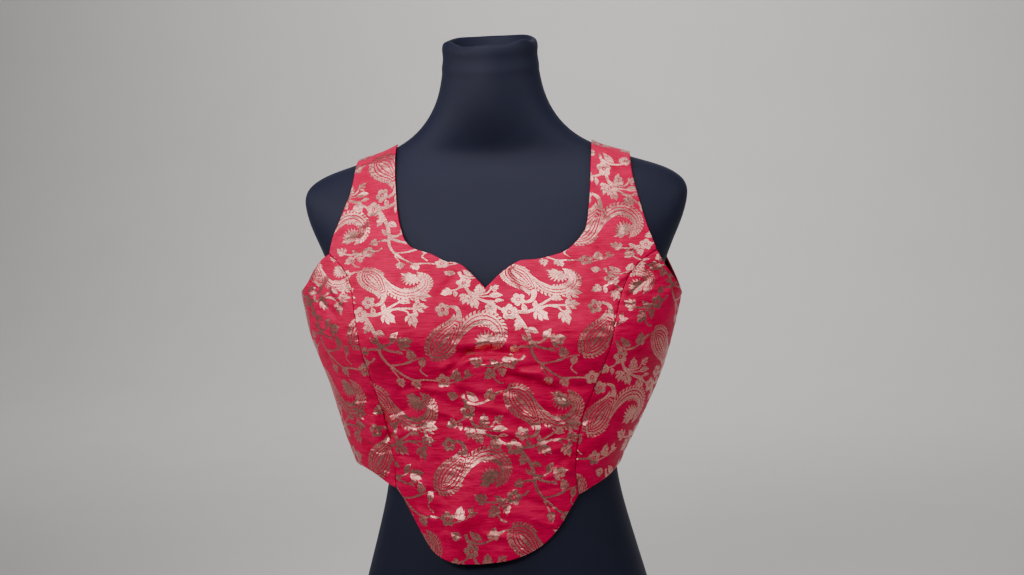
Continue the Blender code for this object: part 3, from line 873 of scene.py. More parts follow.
# Millimetres from the large flower
STEMS = (
    Stem(((6, 0), (17, 0), (27, 3), (39, 6), (54, 6)), 1.7, 0.8),
    Stem(((24, 3), (37, 11), (47, 18), (56, 20)), 1.2, 0.7),
    Stem(((39, 6), (47, 4), (51, 0)), 0.9, 0.7),
    Stem(((6, -2), (12, -10), (17, -18), (20, -28), (21, -38), (26, -47), (33, -54)), 2.1, 1.2),
    Stem(((33, -54), (41, -61), (50, -66), (61, -66), (73, -67)), 1.2, 0.9),
    Stem(((20, -28), (28, -29), (34, -26)), 1.4, 0.8),
    Stem(((21, -30), (30, -34), (40, -36)), 1.6, 0.8),
    Stem(((19, -33), (11, -33), (7, -35)), 1.2, 0.8),
    Stem(((28, -50), (38, -49), (50, -46), (52, -42)), 0.9, 0.7),
    Stem(((44, -47), (57, -43), (66, -42)), 0.8, 0.5),
    Stem(((29, -53), (34, -61), (36, -66)), 0.8, 0.6),
    Stem(((-6, 2), (-17, 8), (-29, 14), (-38, 20), (-43, 30)), 1.0, 1.5),
    Stem(((-41, 24), (-32, 20), (-22, 21), (-18, 26)), 1.2, 0.8),
    Stem(((-36, 18), (-27, 17), (-20, 17)), 0.9, 0.6),
    Stem(((-31, 15), (-22, 12), (-14, 11)), 0.8, 0.5),
    Stem(((-45, 41), (-48, 46), (-50, 53)), 1.0, 1.7),
    Stem(((-48, 47), (-39, 43), (-30, 44), (-23, 47)), 1.3, 0.8),
    Stem(((-47, 31), (-52, 27), (-58, 25)), 1.1, 0.8),
    Stem(((-62, 64), (-55, 66), (-48, 68), (-44, 72)), 0.8, 0.6),
    Stem(((-8, -51), (-16, -55), (-18, -62), (-14, -69), (-8, -71)), 1.3, 0.8),
    Stem(((-8, -49), (-20, -52), (-30, -51)), 1.2, 0.9),
    Stem(((5, -47), (10, -46), (14, -42)), 0.8, 1.2),
    Stem(((64, -62), (58, -56), (60, -51)), 0.8, 0.6),
)
LEAVES = (
    Leaf(53, 6, 69, 7, 3.8, True),
    Leaf(54, 19, 72, 19, 4.4, True),
    Leaf(40, 13, 52, 12, 2.2, False),
    Leaf(51, 1, 57, -13, 4.2, True),
    Leaf(25, 2, 38, -8, 4.4, True),
    Leaf(17, 1, 13, 8, 2.6, False),
    Leaf(26, 3, 26, 12, 2.4, False),
    Leaf(12, -8, 5, -18, 3.8, True),
    Leaf(17, -16, 28, -20, 2.8, False),
    Leaf(19, -27, 11, -21, 2.3, False),
    Leaf(8, -34, -2, -37, 3.8, True),
    Leaf(33, -27, 40, -16, 3.6, False),
    Leaf(39, -29, 55, -24, 5.2, True),
    Leaf(36, -35, 44, -38, 1.8, False),
    Leaf(52, -43, 49, -32, 4.8, True),
    Leaf(36, -64, 37, -75, 3.6, True),
    Leaf(50, -66, 55, -77, 4.0, True),
    Leaf(60, -52, 63, -42, 3.6, False),
    Leaf(-21, 9, -13, -2, 4.6, True),
    Leaf(-38, 16, -31, 3, 4.4, True),
    Leaf(-43, 21, -46, 8, 3.6, True),
    Leaf(-21, 17, -6, 18, 3.2, False),
    Leaf(-15, 11, -5, 12, 2.0, False),
    Leaf(-18, 25, -9, 31, 2.6, True),
    Leaf(-29, 21, -29, 34, 4.4, True),
    Leaf(-57, 26, -68, 21, 4.0, True),
    Leaf(-54, 25, -53, 17, 2.2, False),
    Leaf(-34, 46, -46, 56, 3.8, False),
    Leaf(-24, 46, -20, 59, 5.0, True),
    Leaf(-20, 49, -8, 56, 1.6, False),
    Leaf(-54, 50, -65, 54, 4.6, False),
    Leaf(-56, 67, -53, 80, 4.8, True),
    Leaf(-48, 69, -37, 73, 2.3, False),
    Leaf(-45, 72, -42, 79, 2.6, False),
    Leaf(-9, -54, -9, -65, 3.4, True),
    Leaf(-17, -57, -28, -66, 4.6, True),
    Leaf(-29, -51, -41, -43, 4.2, True),
    Leaf(-11, -51, -21, -45, 2.8, False),
)


class Bloom(NamedTuple):
    """A flower of the pattern."""

    x: float
    y: float
    size: float
    turn: float


BLOOMS = (
    Bloom(0, 0, 7.8, 0.3),
    Bloom(-45, 36, 7.6, 0.5),
    Bloom(-1, -48, 7.6, 0.1),
    Bloom(79, -67, 7.4, 0.4),
)


class Lobe(NamedTuple):
    """A leaf's side lobe: where it starts, its lean in radians, and its share of the length."""

    start: float
    lean: float
    share: float


LOBES = (Lobe(0.10, 1.0, 0.52), Lobe(0.34, 0.62, 0.48))


class Vein(NamedTuple):
    """A leaf's silk vein: its ends as shares of the leaf's length, and its half widths."""

    start: float
    end: float
    widths: tuple[float, float, float]


PLAIN_VEIN = Vein(0.3, 0.75, (0.3, 0.3, 0.15))
LOBED_VEIN = Vein(0.15, 0.7, (0.35, 0.3, 0.15))


class Disc(NamedTuple):
    """A disc of a flower's eye, with its share of the flower's size."""

    thread: Thread
    share: float


EYE = (Disc(Thread.ZARI, 0.5), Disc(Thread.SILK, 0.3), Disc(Thread.ZARI, 0.15))


@dataclass
class Drawing:
    """The woven pattern's outlines; a later one lies over an earlier one."""

    PETALS = 5
    ROUND = 10
    PETAL_OUT = 0.62
    PETAL_SIZE = 0.42
    EYE_TURN = 0.3
    LOBED_WIDTH = 0.8
    LOBE_WIDTH = 0.42
    PLAIN_BEND = 0.08
    LOBED_BEND = 0.06
    LOBE_BEND = 0.1
    TEETH = 3
    STEM_STEPS = 4

    loops: list[Loop] = field(default_factory=list)

    def add(self, thread: Thread, points: Array) -> None:
        """Adds one outline."""
        self.loops.append(Loop(thread, np.array(points, float)))

    def stamp(self, other: "Drawing", x: float, y: float, flip: bool = False) -> None:
        """Adds another drawing at a place, upside down where flip is set."""
        for loop in other.loops:
            points = loop.points * (1.0, -1.0 if flip else 1.0) + (x, y)
            self.add(loop.thread, points)

    def flower(self, x: float, y: float, size: float, turn: float = 0.0) -> None:
        """Adds a flower of five petals round an eye.

        Args:
            x: its place across.
            y: its place up.
            size: its reach.
            turn: the direction of its first petal, in radians.
        """
        for i in range(self.PETALS):
            way = heading(turn + 2 * math.pi * i / self.PETALS)
            centre = np.array([x, y]) + way * size * self.PETAL_OUT
            self.add(Thread.ZARI, circle(size * self.PETAL_SIZE, self.ROUND) + centre)
        for disc in EYE:
            self.add(disc.thread, circle(size * disc.share, self.ROUND, self.EYE_TURN) + (x, y))

    def stem(self, row: Stem) -> None:
        """Adds a tapering stem."""
        self.add(Thread.ZARI, ribbon(smooth_line(row.points, self.STEM_STEPS), (row.start, row.end)))

    def foliage(self, row: Leaf) -> None:
        """Adds a leaf: plain, or with side lobes and a vein.

        Args:
            row: the leaf.
        """
        foot, tip = np.array([row.x1, row.y1]), np.array([row.x2, row.y2])
        reach = tip - foot
        if not row.lobed:
            self.add(Thread.ZARI, leaf(foot, tip, row.width, bend=self.PLAIN_BEND))
            self.vein(foot, reach, PLAIN_VEIN)
            return
        width = row.width * self.LOBED_WIDTH
        self.add(Thread.ZARI, leaf(foot, tip, width, self.TEETH, self.LOBED_BEND))
        for side in (-1, 1):
            for lobe in LOBES:
                turn = side * lobe.lean
                way = np.array([reach[0] * math.cos(turn) - reach[1] * math.sin(turn),
                                reach[0] * math.sin(turn) + reach[1] * math.cos(turn)])
                base = foot + reach * lobe.start
                lobe_tip = base + way * lobe.share
                width = row.width * self.LOBE_WIDTH
                bend = self.LOBE_BEND * side
                self.add(Thread.ZARI, leaf(base, lobe_tip, width, bend=bend))
        self.vein(foot, reach, LOBED_VEIN)

    def vein(self, foot: Array, reach: Array, row: Vein) -> None:
        """Adds a leaf's silk vein."""
        line = np.linspace(foot + reach * row.start, foot + reach * row.end, len(row.widths))
        self.add(Thread.SILK, ribbon(line, row.widths))


class Feathers(NamedTuple):
    """A row of small leaves on one side of a line.

    Start and end are shares of the line, side is 1 for its left and -1 for its right, and lean
    is how far they lean forward, in radians.
    """

    start: float
    end: float
    count: int
    length: float
    width: float
    side: int
    lean: float


FEATHERS = (
    Feathers(0.02, 0.66, 17, 5.0, 1.15, 1, 0.75),
    Feathers(0.00, 0.30, 8, 4.6, 1.10, -1, 0.75),
    Feathers(0.06, 1.00, 27, 4.8, 1.10, 1, 0.70),
    Feathers(0.36, 0.95, 13, 2.8, 0.80, -1, 0.80),
)


@dataclass(frozen=True)
class Paisley:
    """A curled paisley: an almond body, a hooked tip with a flower, and a feathered curl.

    Lengths are millimetres. Body and horn are half widths along the spine and the curl. Bands are
    shares of the body's half width from the rim inwards, silk and zari by turns.
    """

    spine: tuple[Place, ...] = (
        (-30, -33), (-24.5, -27), (-18, -19.5), (-11.5, -11.5), (-5, -3), (-1.5, 6), (-3.5, 13.5),
        (-10, 16.5),
    )
    curl: tuple[Place, ...] = (
        (-7, -25), (-1, -13), (7, -3), (17, 2.5), (28, 2), (36, -4), (39, -12), (36, -20),
        (30, -24),
    )
    per_span: int = 6
    body: tuple[float, ...] = (0.8, 8.2, 11.4, 11.6, 9.4, 6.0, 3.4, 2.3, 1.8, 1.2)
    horn: tuple[float, ...] = (0.6, 2.6, 4.6, 5.4, 5.4, 4.8, 3.8, 2.5, 1.2)
    veins: tuple[float, ...] = (0.52, -0.16)
    vein_width: float = 0.12
    vein_trim: int = 3
    bands: tuple[float, ...] = (0.86, 0.73, 0.58, 0.45, 0.29, 0.17)
    band_first: int = 2
    band_last: int = 30
    band_widths: int = 7
    hook_flower: Bloom = Bloom(-17, 13, 7.0, 0.5)
    feather_bend: float = 0.1

    def feathers(self, art: Drawing, line: Array, row: Feathers) -> None:
        """Adds small leaves along one side of a line.

        Args:
            art: the drawing.
            line: the line that they stand on.
            row: their number, size and lean.
        """
        along = np.gradient(line, axis=0)
        shares = np.linspace(0, 1, len(line))
        for share in np.linspace(row.start, row.end, row.count):
            foot = np.array([np.interp(share, shares, line[:, k]) for k in (0, 1)])
            way = np.array([np.interp(share, shares, along[:, k]) for k in (0, 1)])
            reach = heading(math.atan2(way[1], way[0]) + row.side * row.lean) * row.length
            bend = self.feather_bend * row.side
            art.add(Thread.ZARI, leaf(foot, foot + reach, row.width, bend=bend))

    def draw(self) -> Drawing:
        """Draws the whole motif about the joint of body and curl.

        Returns:
            The motif.
        """
        art = Drawing()
        spine = smooth_line(self.spine, self.per_span)
        curl = smooth_line(self.curl, self.per_span)
        body, horn = np.array(self.body), np.array(self.horn)
        edge = ribbon(spine, body)
        brim = ribbon(curl, horn)
        lines = (edge[:len(spine)], edge[::-1][:len(spine)],
                 brim[:len(curl)], brim[::-1][:len(curl)])
        for line, row in zip(lines, FEATHERS):
            self.feathers(art, line, row)
        art.add(Thread.ZARI, brim)
        for share in self.veins:
            line = curl[self.vein_trim:-self.vein_trim]
            left, right = share + self.vein_width, -share + self.vein_width
            art.add(Thread.SILK, ribbon(line, horn, left, right))
        art.add(Thread.ZARI, edge)
        for i, share in enumerate(self.bands):
            thread = Thread.ZARI if i % 2 else Thread.SILK
            line = spine[self.band_first + i:self.band_last - self.band_first - i]
            art.add(thread, ribbon(line, body[:self.band_widths] * share))
        Fan().draw(art)
        art.flower(*self.hook_flower)
        return art


@dataclass(frozen=True)
class Fan:
    """The half daisy inside the curl of a paisley, in millimetres and degrees."""

    foot: Place = (26.0, -22.5)
    count: int = 11
    first: float = 52.0
    step: float = 16.5
    inner: float = 2.0
    length: float = 15.5
    longest: int = 4
    shorter: float = 0.35
    fall: float = 1.5
    width: float = 1.5
    eye: float = 2.6
    eye_sides: int = 12
    stalk_foot: Place = (-1, -1)
    stalk_tip: Place = (-14, -4.5)
    stalk_width: float = 1.8
    stalk_bend: float = -0.12

    def draw(self, art: Drawing) -> None:
        """Adds the petals, the eye and the stalk.

        Args:
            art: the drawing.
        """
        foot = np.array(self.foot)
        for i in range(self.count):
            way = heading(math.radians(self.first + self.step * i))
            length = self.length - self.shorter * abs(i - self.longest) ** self.fall
            art.add(Thread.ZARI, leaf(foot + way * self.inner, foot + way * length, self.width))
        art.add(Thread.ZARI, circle(self.eye, self.eye_sides) + foot)
        art.add(Thread.ZARI, leaf(foot + self.stalk_foot, foot + self.stalk_tip,
                                  self.stalk_width, bend=self.stalk_bend))


@dataclass(frozen=True)
class Brocade:
    """The repeat of the cloth: its size in millimetres, and the places of its two paisleys."""

    width: float = 147.0
    height: float = 134.0
    across: float = 0.953
    upright: Place = (-48, -9)
    flipped: Place = (26, 26)
    ease_low: float = -70 * MM
    ease_high: float = 40 * MM
    ease_drop: float = 28 * MM
    ease_narrow: float = 0.055

    def ease(self, points: Array) -> Array:
        """Takes up the cloth that the bust uses on the way to the strap."""
        share = smoothstep(self.ease_low, self.ease_high, points[:, 1])
        u = points[:, 0] * (1 - self.ease_narrow * share)
        return np.stack([u, points[:, 1] - self.ease_drop * share], axis=1)

    def tile(self) -> Drawing:
        """Draws one repeat about its large flower.

        Returns:
            The repeat.
        """
        art = Drawing()
        paisley = Paisley().draw()
        art.stamp(paisley, *self.upright)
        art.stamp(paisley, *self.flipped, flip=True)
        for stem in STEMS:
            art.stem(stem)
        for row in LEAVES:
            art.foliage(row)
        for bloom in BLOOMS:
            art.flower(*bloom)
        return art

    def over(self, low: Array, high: Array, origin: Place) -> list[Loop]:
        """Repeats the tile over a panel.

        Args:
            low: the panel's lowest u and v, in metres.
            high: its highest.
            origin: where a large flower falls, in metres.

        Returns:
            The outlines that reach the panel, in metres.
        """
        tile = self.tile()
        found = []
        unit = np.array([self.across, 1.0]) * MM
        size = unit * (self.width, self.height)
        first = np.floor((low - origin) / size).astype(int) - 1
        last = np.ceil((high - origin) / size).astype(int) + 1
        for row in range(first[1], last[1] + 1):
            for column in range(first[0], last[0] + 1):
                shift = np.array(origin) + size * (column, row)
                for loop in tile.loops:
                    points = self.ease(loop.points * unit + shift)
                    if (points.max(axis=0) > low).all() and (points.min(axis=0) < high).all():
                        found.append(Loop(loop.thread, points))
        return found


SAME_PLACE = 0.02 * MM
FARTHEST = 1.0
TINY = 1e-9
MITRE_LIMIT = 1.8
ROW_HEIGHT = 0.866
BATCH = 4000
WELD_MM = 1e-4


def tidy_chain(points: Array) -> Array:
    """Drops points that repeat the one before them, all round."""
    keep = np.linalg.norm(points - np.roll(points, 1, axis=0), axis=1) > SAME_PLACE
    return points[keep]


def distance_to(points: Array, lines: Sequence[Array]) -> tuple[Array, Array]:
    """Distance from points to polylines.

    Args:
        points: rows of (u, v).
        lines: open polylines.

    Returns:
        The distance to the nearest line, and how far along it that is.
    """
    best = np.full(len(points), FARTHEST)
    along = np.zeros(len(points))
    for line in lines:
        start = 0.0
        for a, b in zip(line, line[1:]):
            span = b - a
            length = float(np.hypot(*span))
            if length == 0:
                continue
            t = np.clip(((points - a) @ span) / length ** 2, 0.0, 1.0)
            away = np.hypot(*(points - a - t[:, None] * span).T)
            nearer = away < best
            best = np.where(nearer, away, best)
            along = np.where(nearer, start + t * length, along)
            start += length
    return best, along


def inset(loop: Array, distance: float) -> Array:
    """Moves a closed outline inwards; it runs anticlockwise.

    Args:
        loop: the outline.
        distance: how far.

    Returns:
        The smaller outline.
    """
    after = np.roll(loop, -1, axis=0) - loop
    after /= np.linalg.norm(after, axis=1, keepdims=True)
    before = np.roll(after, 1, axis=0)
    side = np.stack([-(after + before)[:, 1], (after + before)[:, 0]], axis=1)
    length = np.linalg.norm(side, axis=1, keepdims=True)
    side /= np.maximum(length, TINY)
    stretch = np.minimum(2 / np.maximum(length, TINY), MITRE_LIMIT)
    return loop + side * distance * stretch


def hex_grid(low: Array, high: Array, pitch: float) -> Array:
    """Staggered points over a box.

    Args:
        low: the box's lowest corner.
        high: its highest.
        pitch: the distance between neighbours.

    Returns:
        Rows of (u, v).
    """
    rows = np.arange(low[1], high[1], pitch * ROW_HEIGHT)
    columns = np.arange(low[0], high[0], pitch)
    u, v = np.meshgrid(columns, rows)
    u = u + (np.arange(len(rows)) % 2)[:, None] * pitch / 2
    return np.stack([u.ravel(), v.ravel()], axis=1)


class Net(NamedTuple):
    """A flat triangle mesh: its points, triangles and what each triangle shows."""

    points: Array
    triangles: Array
    zari: Array


def inside(points: Array, ring: Array) -> Array:
    """Whether points lie inside a closed outline.

    Args:
        points: rows of (u, v).
        ring: the outline.

    Returns:
        One truth for each point.
    """
    after = np.roll(ring, -1, axis=0)
    slope = (after - ring)[:, 0] / np.where(after[:, 1] == ring[:, 1], 1.0, (after - ring)[:, 1])
    found = np.zeros(len(points), bool)
    for start in range(0, len(points), BATCH):
        u, v = (points[start:start + BATCH, k:k + 1] for k in (0, 1))
        right = u < ring[:, 0] + (v - ring[:, 1]) * slope
        rising = (ring[:, 1] <= v) & (after[:, 1] > v) & right
        falling = (ring[:, 1] > v) & (after[:, 1] <= v) & right
        found[start:start + BATCH] = rising.sum(axis=1) != falling.sum(axis=1)
    return found


def triangulate(outline: Array, loops: Sequence[Loop], lines: Sequence[Array], dots: Array) -> Net:
    """Cuts a flat panel into triangles that follow every outline.

    Args:
        outline: the panel's outline.
        loops: the pattern.
        lines: closed lines that triangles follow.
        dots: loose points inside.

    Returns:
        The net, its triangles anticlockwise.
    """
    rings = [outline, *(loop.points for loop in loops), *lines]
    edges = []
    count = len(outline)
    for ring in rings[1:]:
        order = list(range(count, count + len(ring)))
        edges += list(zip(order, order[1:] + order[:1]))
        count += len(ring)
    flat = [Vector(p) for p in np.concatenate((*rings, dots)) / MM]
    whole = list(range(len(outline)))
    out = delaunay_2d_cdt(flat, edges, [whole], 0, WELD_MM, True)
    places = np.array([tuple(p) for p in out[0]]) * MM
    triangles = np.array([triangle for triangle, owners in zip(out[2], out[5]) if owners])
    middles = places[triangles].mean(axis=1)
    order = np.argsort(middles[:, 0])
    sorted_u = middles[order, 0]
    zari = np.zeros(len(triangles), bool)
    for loop in loops:
        low, high = loop.points.min(axis=0), loop.points.max(axis=0)
        near = order[np.searchsorted(sorted_u, low[0]):np.searchsorted(sorted_u, high[0])]
        near = near[(middles[near, 1] > low[1]) & (middles[near, 1] < high[1])]
        zari[near[inside(middles[near], loop.points)]] = loop.thread is Thread.ZARI
    used, index = np.unique(triangles, return_inverse=True)
    triangles = index.reshape(triangles.shape)
    places = places[used]
    a, b, c = (places[triangles[:, k]] for k in range(3))
    area = (b - a)[:, 0] * (c - a)[:, 1] - (b - a)[:, 1] * (c - a)[:, 0]
    triangles[area < 0] = triangles[area < 0][:, ::-1]
    return Net(places, triangles, zari)


def border(net: Net) -> list[int]:
    """The net's boundary points in order, anticlockwise.

    Args:
        net: a net in one piece, with no hole.

    Returns:
        The numbers of its points.
    """
    directed = {}
    for a, b, c in net.triangles.tolist():
        for start, end in ((a, b), (b, c), (c, a)):
            directed[(start, end)] = True
    following = {a: b for a, b in directed if (b, a) not in directed}
    first = next(iter(following))
    ring = [first]
    while following[ring[-1]] != first and len(ring) <= len(following):
        ring.append(following[ring[-1]])
    if len(ring) != len(following):
        raise ValueError(f"the border falls into parts: {len(ring)} of {len(following)}")
    return ring


class Wire:
    """A number that varies over a surface, with arithmetic."""

    def __init__(self, finish: "Finish", socket: bpy.types.NodeSocket) -> None:
        """Wraps an output socket of a finish."""
        self.finish = finish
        self.socket = socket

    def _math(self, operation: str, first: Any, second: Any) -> "Wire":
        """Adds one Math node."""
        node = self.finish.node("ShaderNodeMath", {"operation": operation}, {0: first, 1: second})
        return Wire(self.finish, node.outputs[0])

    def __add__(self, other: Any) -> "Wire":
        """Sum."""
        return self._math("ADD", self, other)

    def __radd__(self, other: Any) -> "Wire":
        """Sum with a number first."""
        return self._math("ADD", other, self)

    def __mul__(self, other: Any) -> "Wire":
        """Product."""
        return self._math("MULTIPLY", self, other)

    def __rmul__(self, other: Any) -> "Wire":
        """Product with a number first."""
        return self._math("MULTIPLY", other, self)

    def wave(self, length: float) -> "Wire":
        """Waves from -1 to 1 that repeat after a length."""
        return self._math("SINE", self * (2 * math.pi / length), 0.0)


RIPPLE_SCALE = (46.0, 105.0, 1.0)
RIPPLE_HEIGHT = 1.7 * MM


class Finish:
    """A material, built node by node."""

    def __init__(self, name: str) -> None:
        """Starts an empty material with a Principled shader.

        Args:
            name: the material's name.
        """
        self.material = bpy.data.materials.new(name)
        self.material.use_nodes = True
        self.tree = self.material.node_tree
        self.shader = self.tree.nodes["Principled BSDF"]

    def node(self, kind: str, settings: dict[str, Any], values: dict[Any, Any]) -> bpy.types.Node:
        """Adds a node.

        Args:
            kind: the node's type.
            settings: properties, set first.
            values: numbers, colours or wires for its sockets.

        Returns:
            The node.
        """
        node = self.tree.nodes.new(kind)
        for name, value in settings.items():
            setattr(node, name, value)
        for key, value in values.items():
            self.feed(node.inputs[key], value)
        return node

    def feed(self, socket: bpy.types.NodeSocket, value: Any) -> None:
        """Links a wire to a socket, or sets its value.

        Args:
            socket: an input.
            value: a wire, number or colour.
        """
        if isinstance(value, Wire):
            self.tree.links.new(value.socket, socket)
        elif isinstance(value, tuple) and len(value) == 3 and socket.type == "RGBA":
            socket.default_value = (*value, 1.0)
        else:
            socket.default_value = value

    def coordinates(self, name: str) -> Wire:
        """The surface's own coordinates: UV or Object."""
        return Wire(self, self.node("ShaderNodeTexCoord", {}, {}).outputs[name])

    def stretched(self, name: str, scale: Spot) -> Wire:
        """Coordinates stretched along their axes."""
        node = self.node("ShaderNodeMapping", {}, {"Vector": self.coordinates(name)})
        node.inputs["Scale"].default_value = scale
        return Wire(self, node.outputs[0])

    def noise(self, where: Wire, scale: float, detail: float = 2.0, rough: float = 0.5) -> Wire:
        """Soft noise from 0 to 1."""
        node = self.node("ShaderNodeTexNoise", {},
                         {"Vector": where, "Scale": scale, "Detail": detail, "Roughness": rough})
        return Wire(self, node.outputs["Fac"])

    def ramp(self, value: Wire, low: float, high: float) -> Wire:
        """Zero below low, one above high."""
        node = self.node("ShaderNodeMapRange", {"clamp": True},
                         {"Value": value, "From Min": low, "From Max": high})
        return Wire(self, node.outputs[0])

    def mix(self, share: Any, first: Any, second: Any) -> Wire:
        """A colour between two."""
        node = self.node("ShaderNodeMix", {"data_type": "RGBA"}, {0: share, 6: first, 7: second})
        return Wire(self, node.outputs[2])

    def axis(self, where: Wire, name: str) -> Wire:
        """One coordinate."""
        node = self.node("ShaderNodeSeparateXYZ", {}, {0: where})
        return Wire(self, node.outputs[name])

    def surface(self, **values: Any) -> None:
        """Feeds the shader; a name's underscores stand for spaces."""
        for name, value in values.items():
            self.feed(self.shader.inputs[name.replace("_", " ")], value)

    def ripple(self) -> Wire:
        """The uneven, mostly level ripples of thin silk on its lining, in metres."""
        return self.noise(self.stretched("UV", RIPPLE_SCALE), 1.0) * RIPPLE_HEIGHT

    def bump(self, height: Wire) -> None:
        """Gives the surface fine relief of a height in metres."""
        node = self.node("ShaderNodeBump", {}, {"Height": height, "Distance": 1.0, "Strength": 1.0})
        self.feed(self.shader.inputs["Normal"], Wire(self, node.outputs[0]))


@dataclass(frozen=True)
class Silk:
    """Crimson silk ground of the brocade."""

    lit: Colour = (0.68, 0.0003, 0.080)
    deep: Colour = (0.42, 0.0002, 0.036)
    glint: Colour = (1.0, 0.30, 0.42)
    gloss: float = 0.14
    rough: float = 0.40
    rough_more: float = 0.12
    streak_scale: Spot = (60.0, 900.0, 1.0)
    blotch_scale: float = 45.0
    streak_share: float = 0.6
    blend_low: float = 0.35
    blend_high: float = 0.65
    rib: float = 0.42 * MM
    rib_height: float = 0.01 * MM
    streak_height: float = 0.036 * MM

    def build(self) -> bpy.types.Material:
        """Makes the material.

        Returns:
            The material.
        """
        finish = Finish("silk_ground")
        where = finish.coordinates("UV")
        streaks = finish.noise(finish.stretched("UV", self.streak_scale), 1.0, 3.0, 0.6)
        blotches = finish.noise(where, self.blotch_scale, 3.0)
        blend = streaks * self.streak_share + blotches * (1 - self.streak_share)
        share = finish.ramp(blend, self.blend_low, self.blend_high)
        finish.surface(
            Base_Color=finish.mix(share, self.deep, self.lit),
            Roughness=self.rough + self.rough_more * blotches,
            Specular_IOR_Level=self.gloss,
            Specular_Tint=self.glint,
        )
        ribs = finish.axis(where, "Y").wave(self.rib)
        finish.bump(ribs * self.rib_height + streaks * self.streak_height + finish.ripple())
        return finish.material


@dataclass(frozen=True)
class Zari:
    """Silver thread floats over crimson warp."""

    bright: Colour = (0.94, 0.63, 0.56)
    dull: Colour = (0.50, 0.05, 0.045)
    metal: float = 0.94
    rough: float = 0.24
    rough_more: float = 0.12
    twill: float = 1.5 * MM
    twill_slant: float = 0.5
    twill_share: float = 0.10
    blend_low: float = 0.38
    blend_high: float = 0.68
    grain_scale: Spot = (500.0, 1500.0, 1.0)
    rib: float = 0.5 * MM
    rib_height: float = 0.014 * MM
    grain_height: float = 0.048 * MM

    def build(self) -> bpy.types.Material:
        """Makes the material.

        Returns:
            The material.
        """
        finish = Finish("zari_thread")
        where = finish.coordinates("UV")
        across = finish.axis(where, "Y")
        along = finish.axis(where, "X")
        twill = (across + along * self.twill_slant).wave(self.twill)
        grain = finish.noise(finish.stretched("UV", self.grain_scale), 1.0, 3.0, 0.7)
        blend = grain + twill * self.twill_share
        share = finish.ramp(blend, self.blend_low, self.blend_high)
        finish.surface(
            Base_Color=finish.mix(share, self.dull, self.bright),
            Metallic=self.metal,
            Roughness=self.rough + self.rough_more * grain,
            Specular_IOR_Level=0.5,
        )
        ribs = across.wave(self.rib)
        finish.bump(ribs * self.rib_height + grain * self.grain_height + finish.ripple())
        return finish.material


@dataclass(frozen=True)
class Lining:
    """Plain red lining cloth."""

    lit: Colour = (0.40, 0.012, 0.035)
    deep: Colour = (0.30, 0.008, 0.024)
    rough: float = 0.7
    weave_scale: Spot = (1200.0, 1200.0, 1.0)
    weave_height: float = 0.025 * MM

    def build(self) -> bpy.types.Material:
        """Makes the material.

        Returns:
            The material.
        """
        finish = Finish("lining_cloth")
        weave = finish.noise(finish.stretched("UV", self.weave_scale), 1.0)
        finish.surface(Base_Color=finish.mix(weave, self.deep, self.lit), Roughness=self.rough)
        finish.bump(weave * self.weave_height)
        return finish.material


@dataclass(frozen=True)
class Jersey:
    """Dark navy stretch cover of the dress form."""

    lit: Colour = (0.0050, 0.0066, 0.027)
    deep: Colour = (0.0034, 0.0045, 0.018)
    nap: Colour = (0.45, 0.5, 0.8)
    nap_weight: float = 0.06
    gloss: float = 0.3
    rough: float = 0.62
    rough_more: float = 0.1
    knit_scale: Spot = (1500.0, 1500.0, 700.0)
    knit_height: float = 0.06 * MM
    cloud_scale: float = 14.0
    cloud_share: float = 0.6
    blend_low: float = 0.3
    blend_high: float = 0.7

    def build(self) -> bpy.types.Material:
        """Makes the material.

        Returns:
            The material.
        """
        finish = Finish("form_jersey")
        knit = finish.noise(finish.stretched("Object", self.knit_scale), 1.0)
        clouds = finish.noise(finish.coordinates("Object"), self.cloud_scale, 3.0)
        blend = knit * (1 - self.cloud_share) + clouds * self.cloud_share
        share = finish.ramp(blend, self.blend_low, self.blend_high)
        finish.surface(
            Base_Color=finish.mix(share, self.deep, self.lit),
            Roughness=self.rough + self.rough_more * knit,
            Sheen_Weight=self.nap_weight,
            Sheen_Roughness=0.4,
            Sheen_Tint=self.nap,
            Specular_IOR_Level=self.gloss,
        )
        finish.bump(knit * self.knit_height)
        return finish.material


@dataclass(frozen=True)
class Cut:
    """One pattern piece: its outline, and which parts of it are seams."""

    outline: Array
    seams: list[Array]


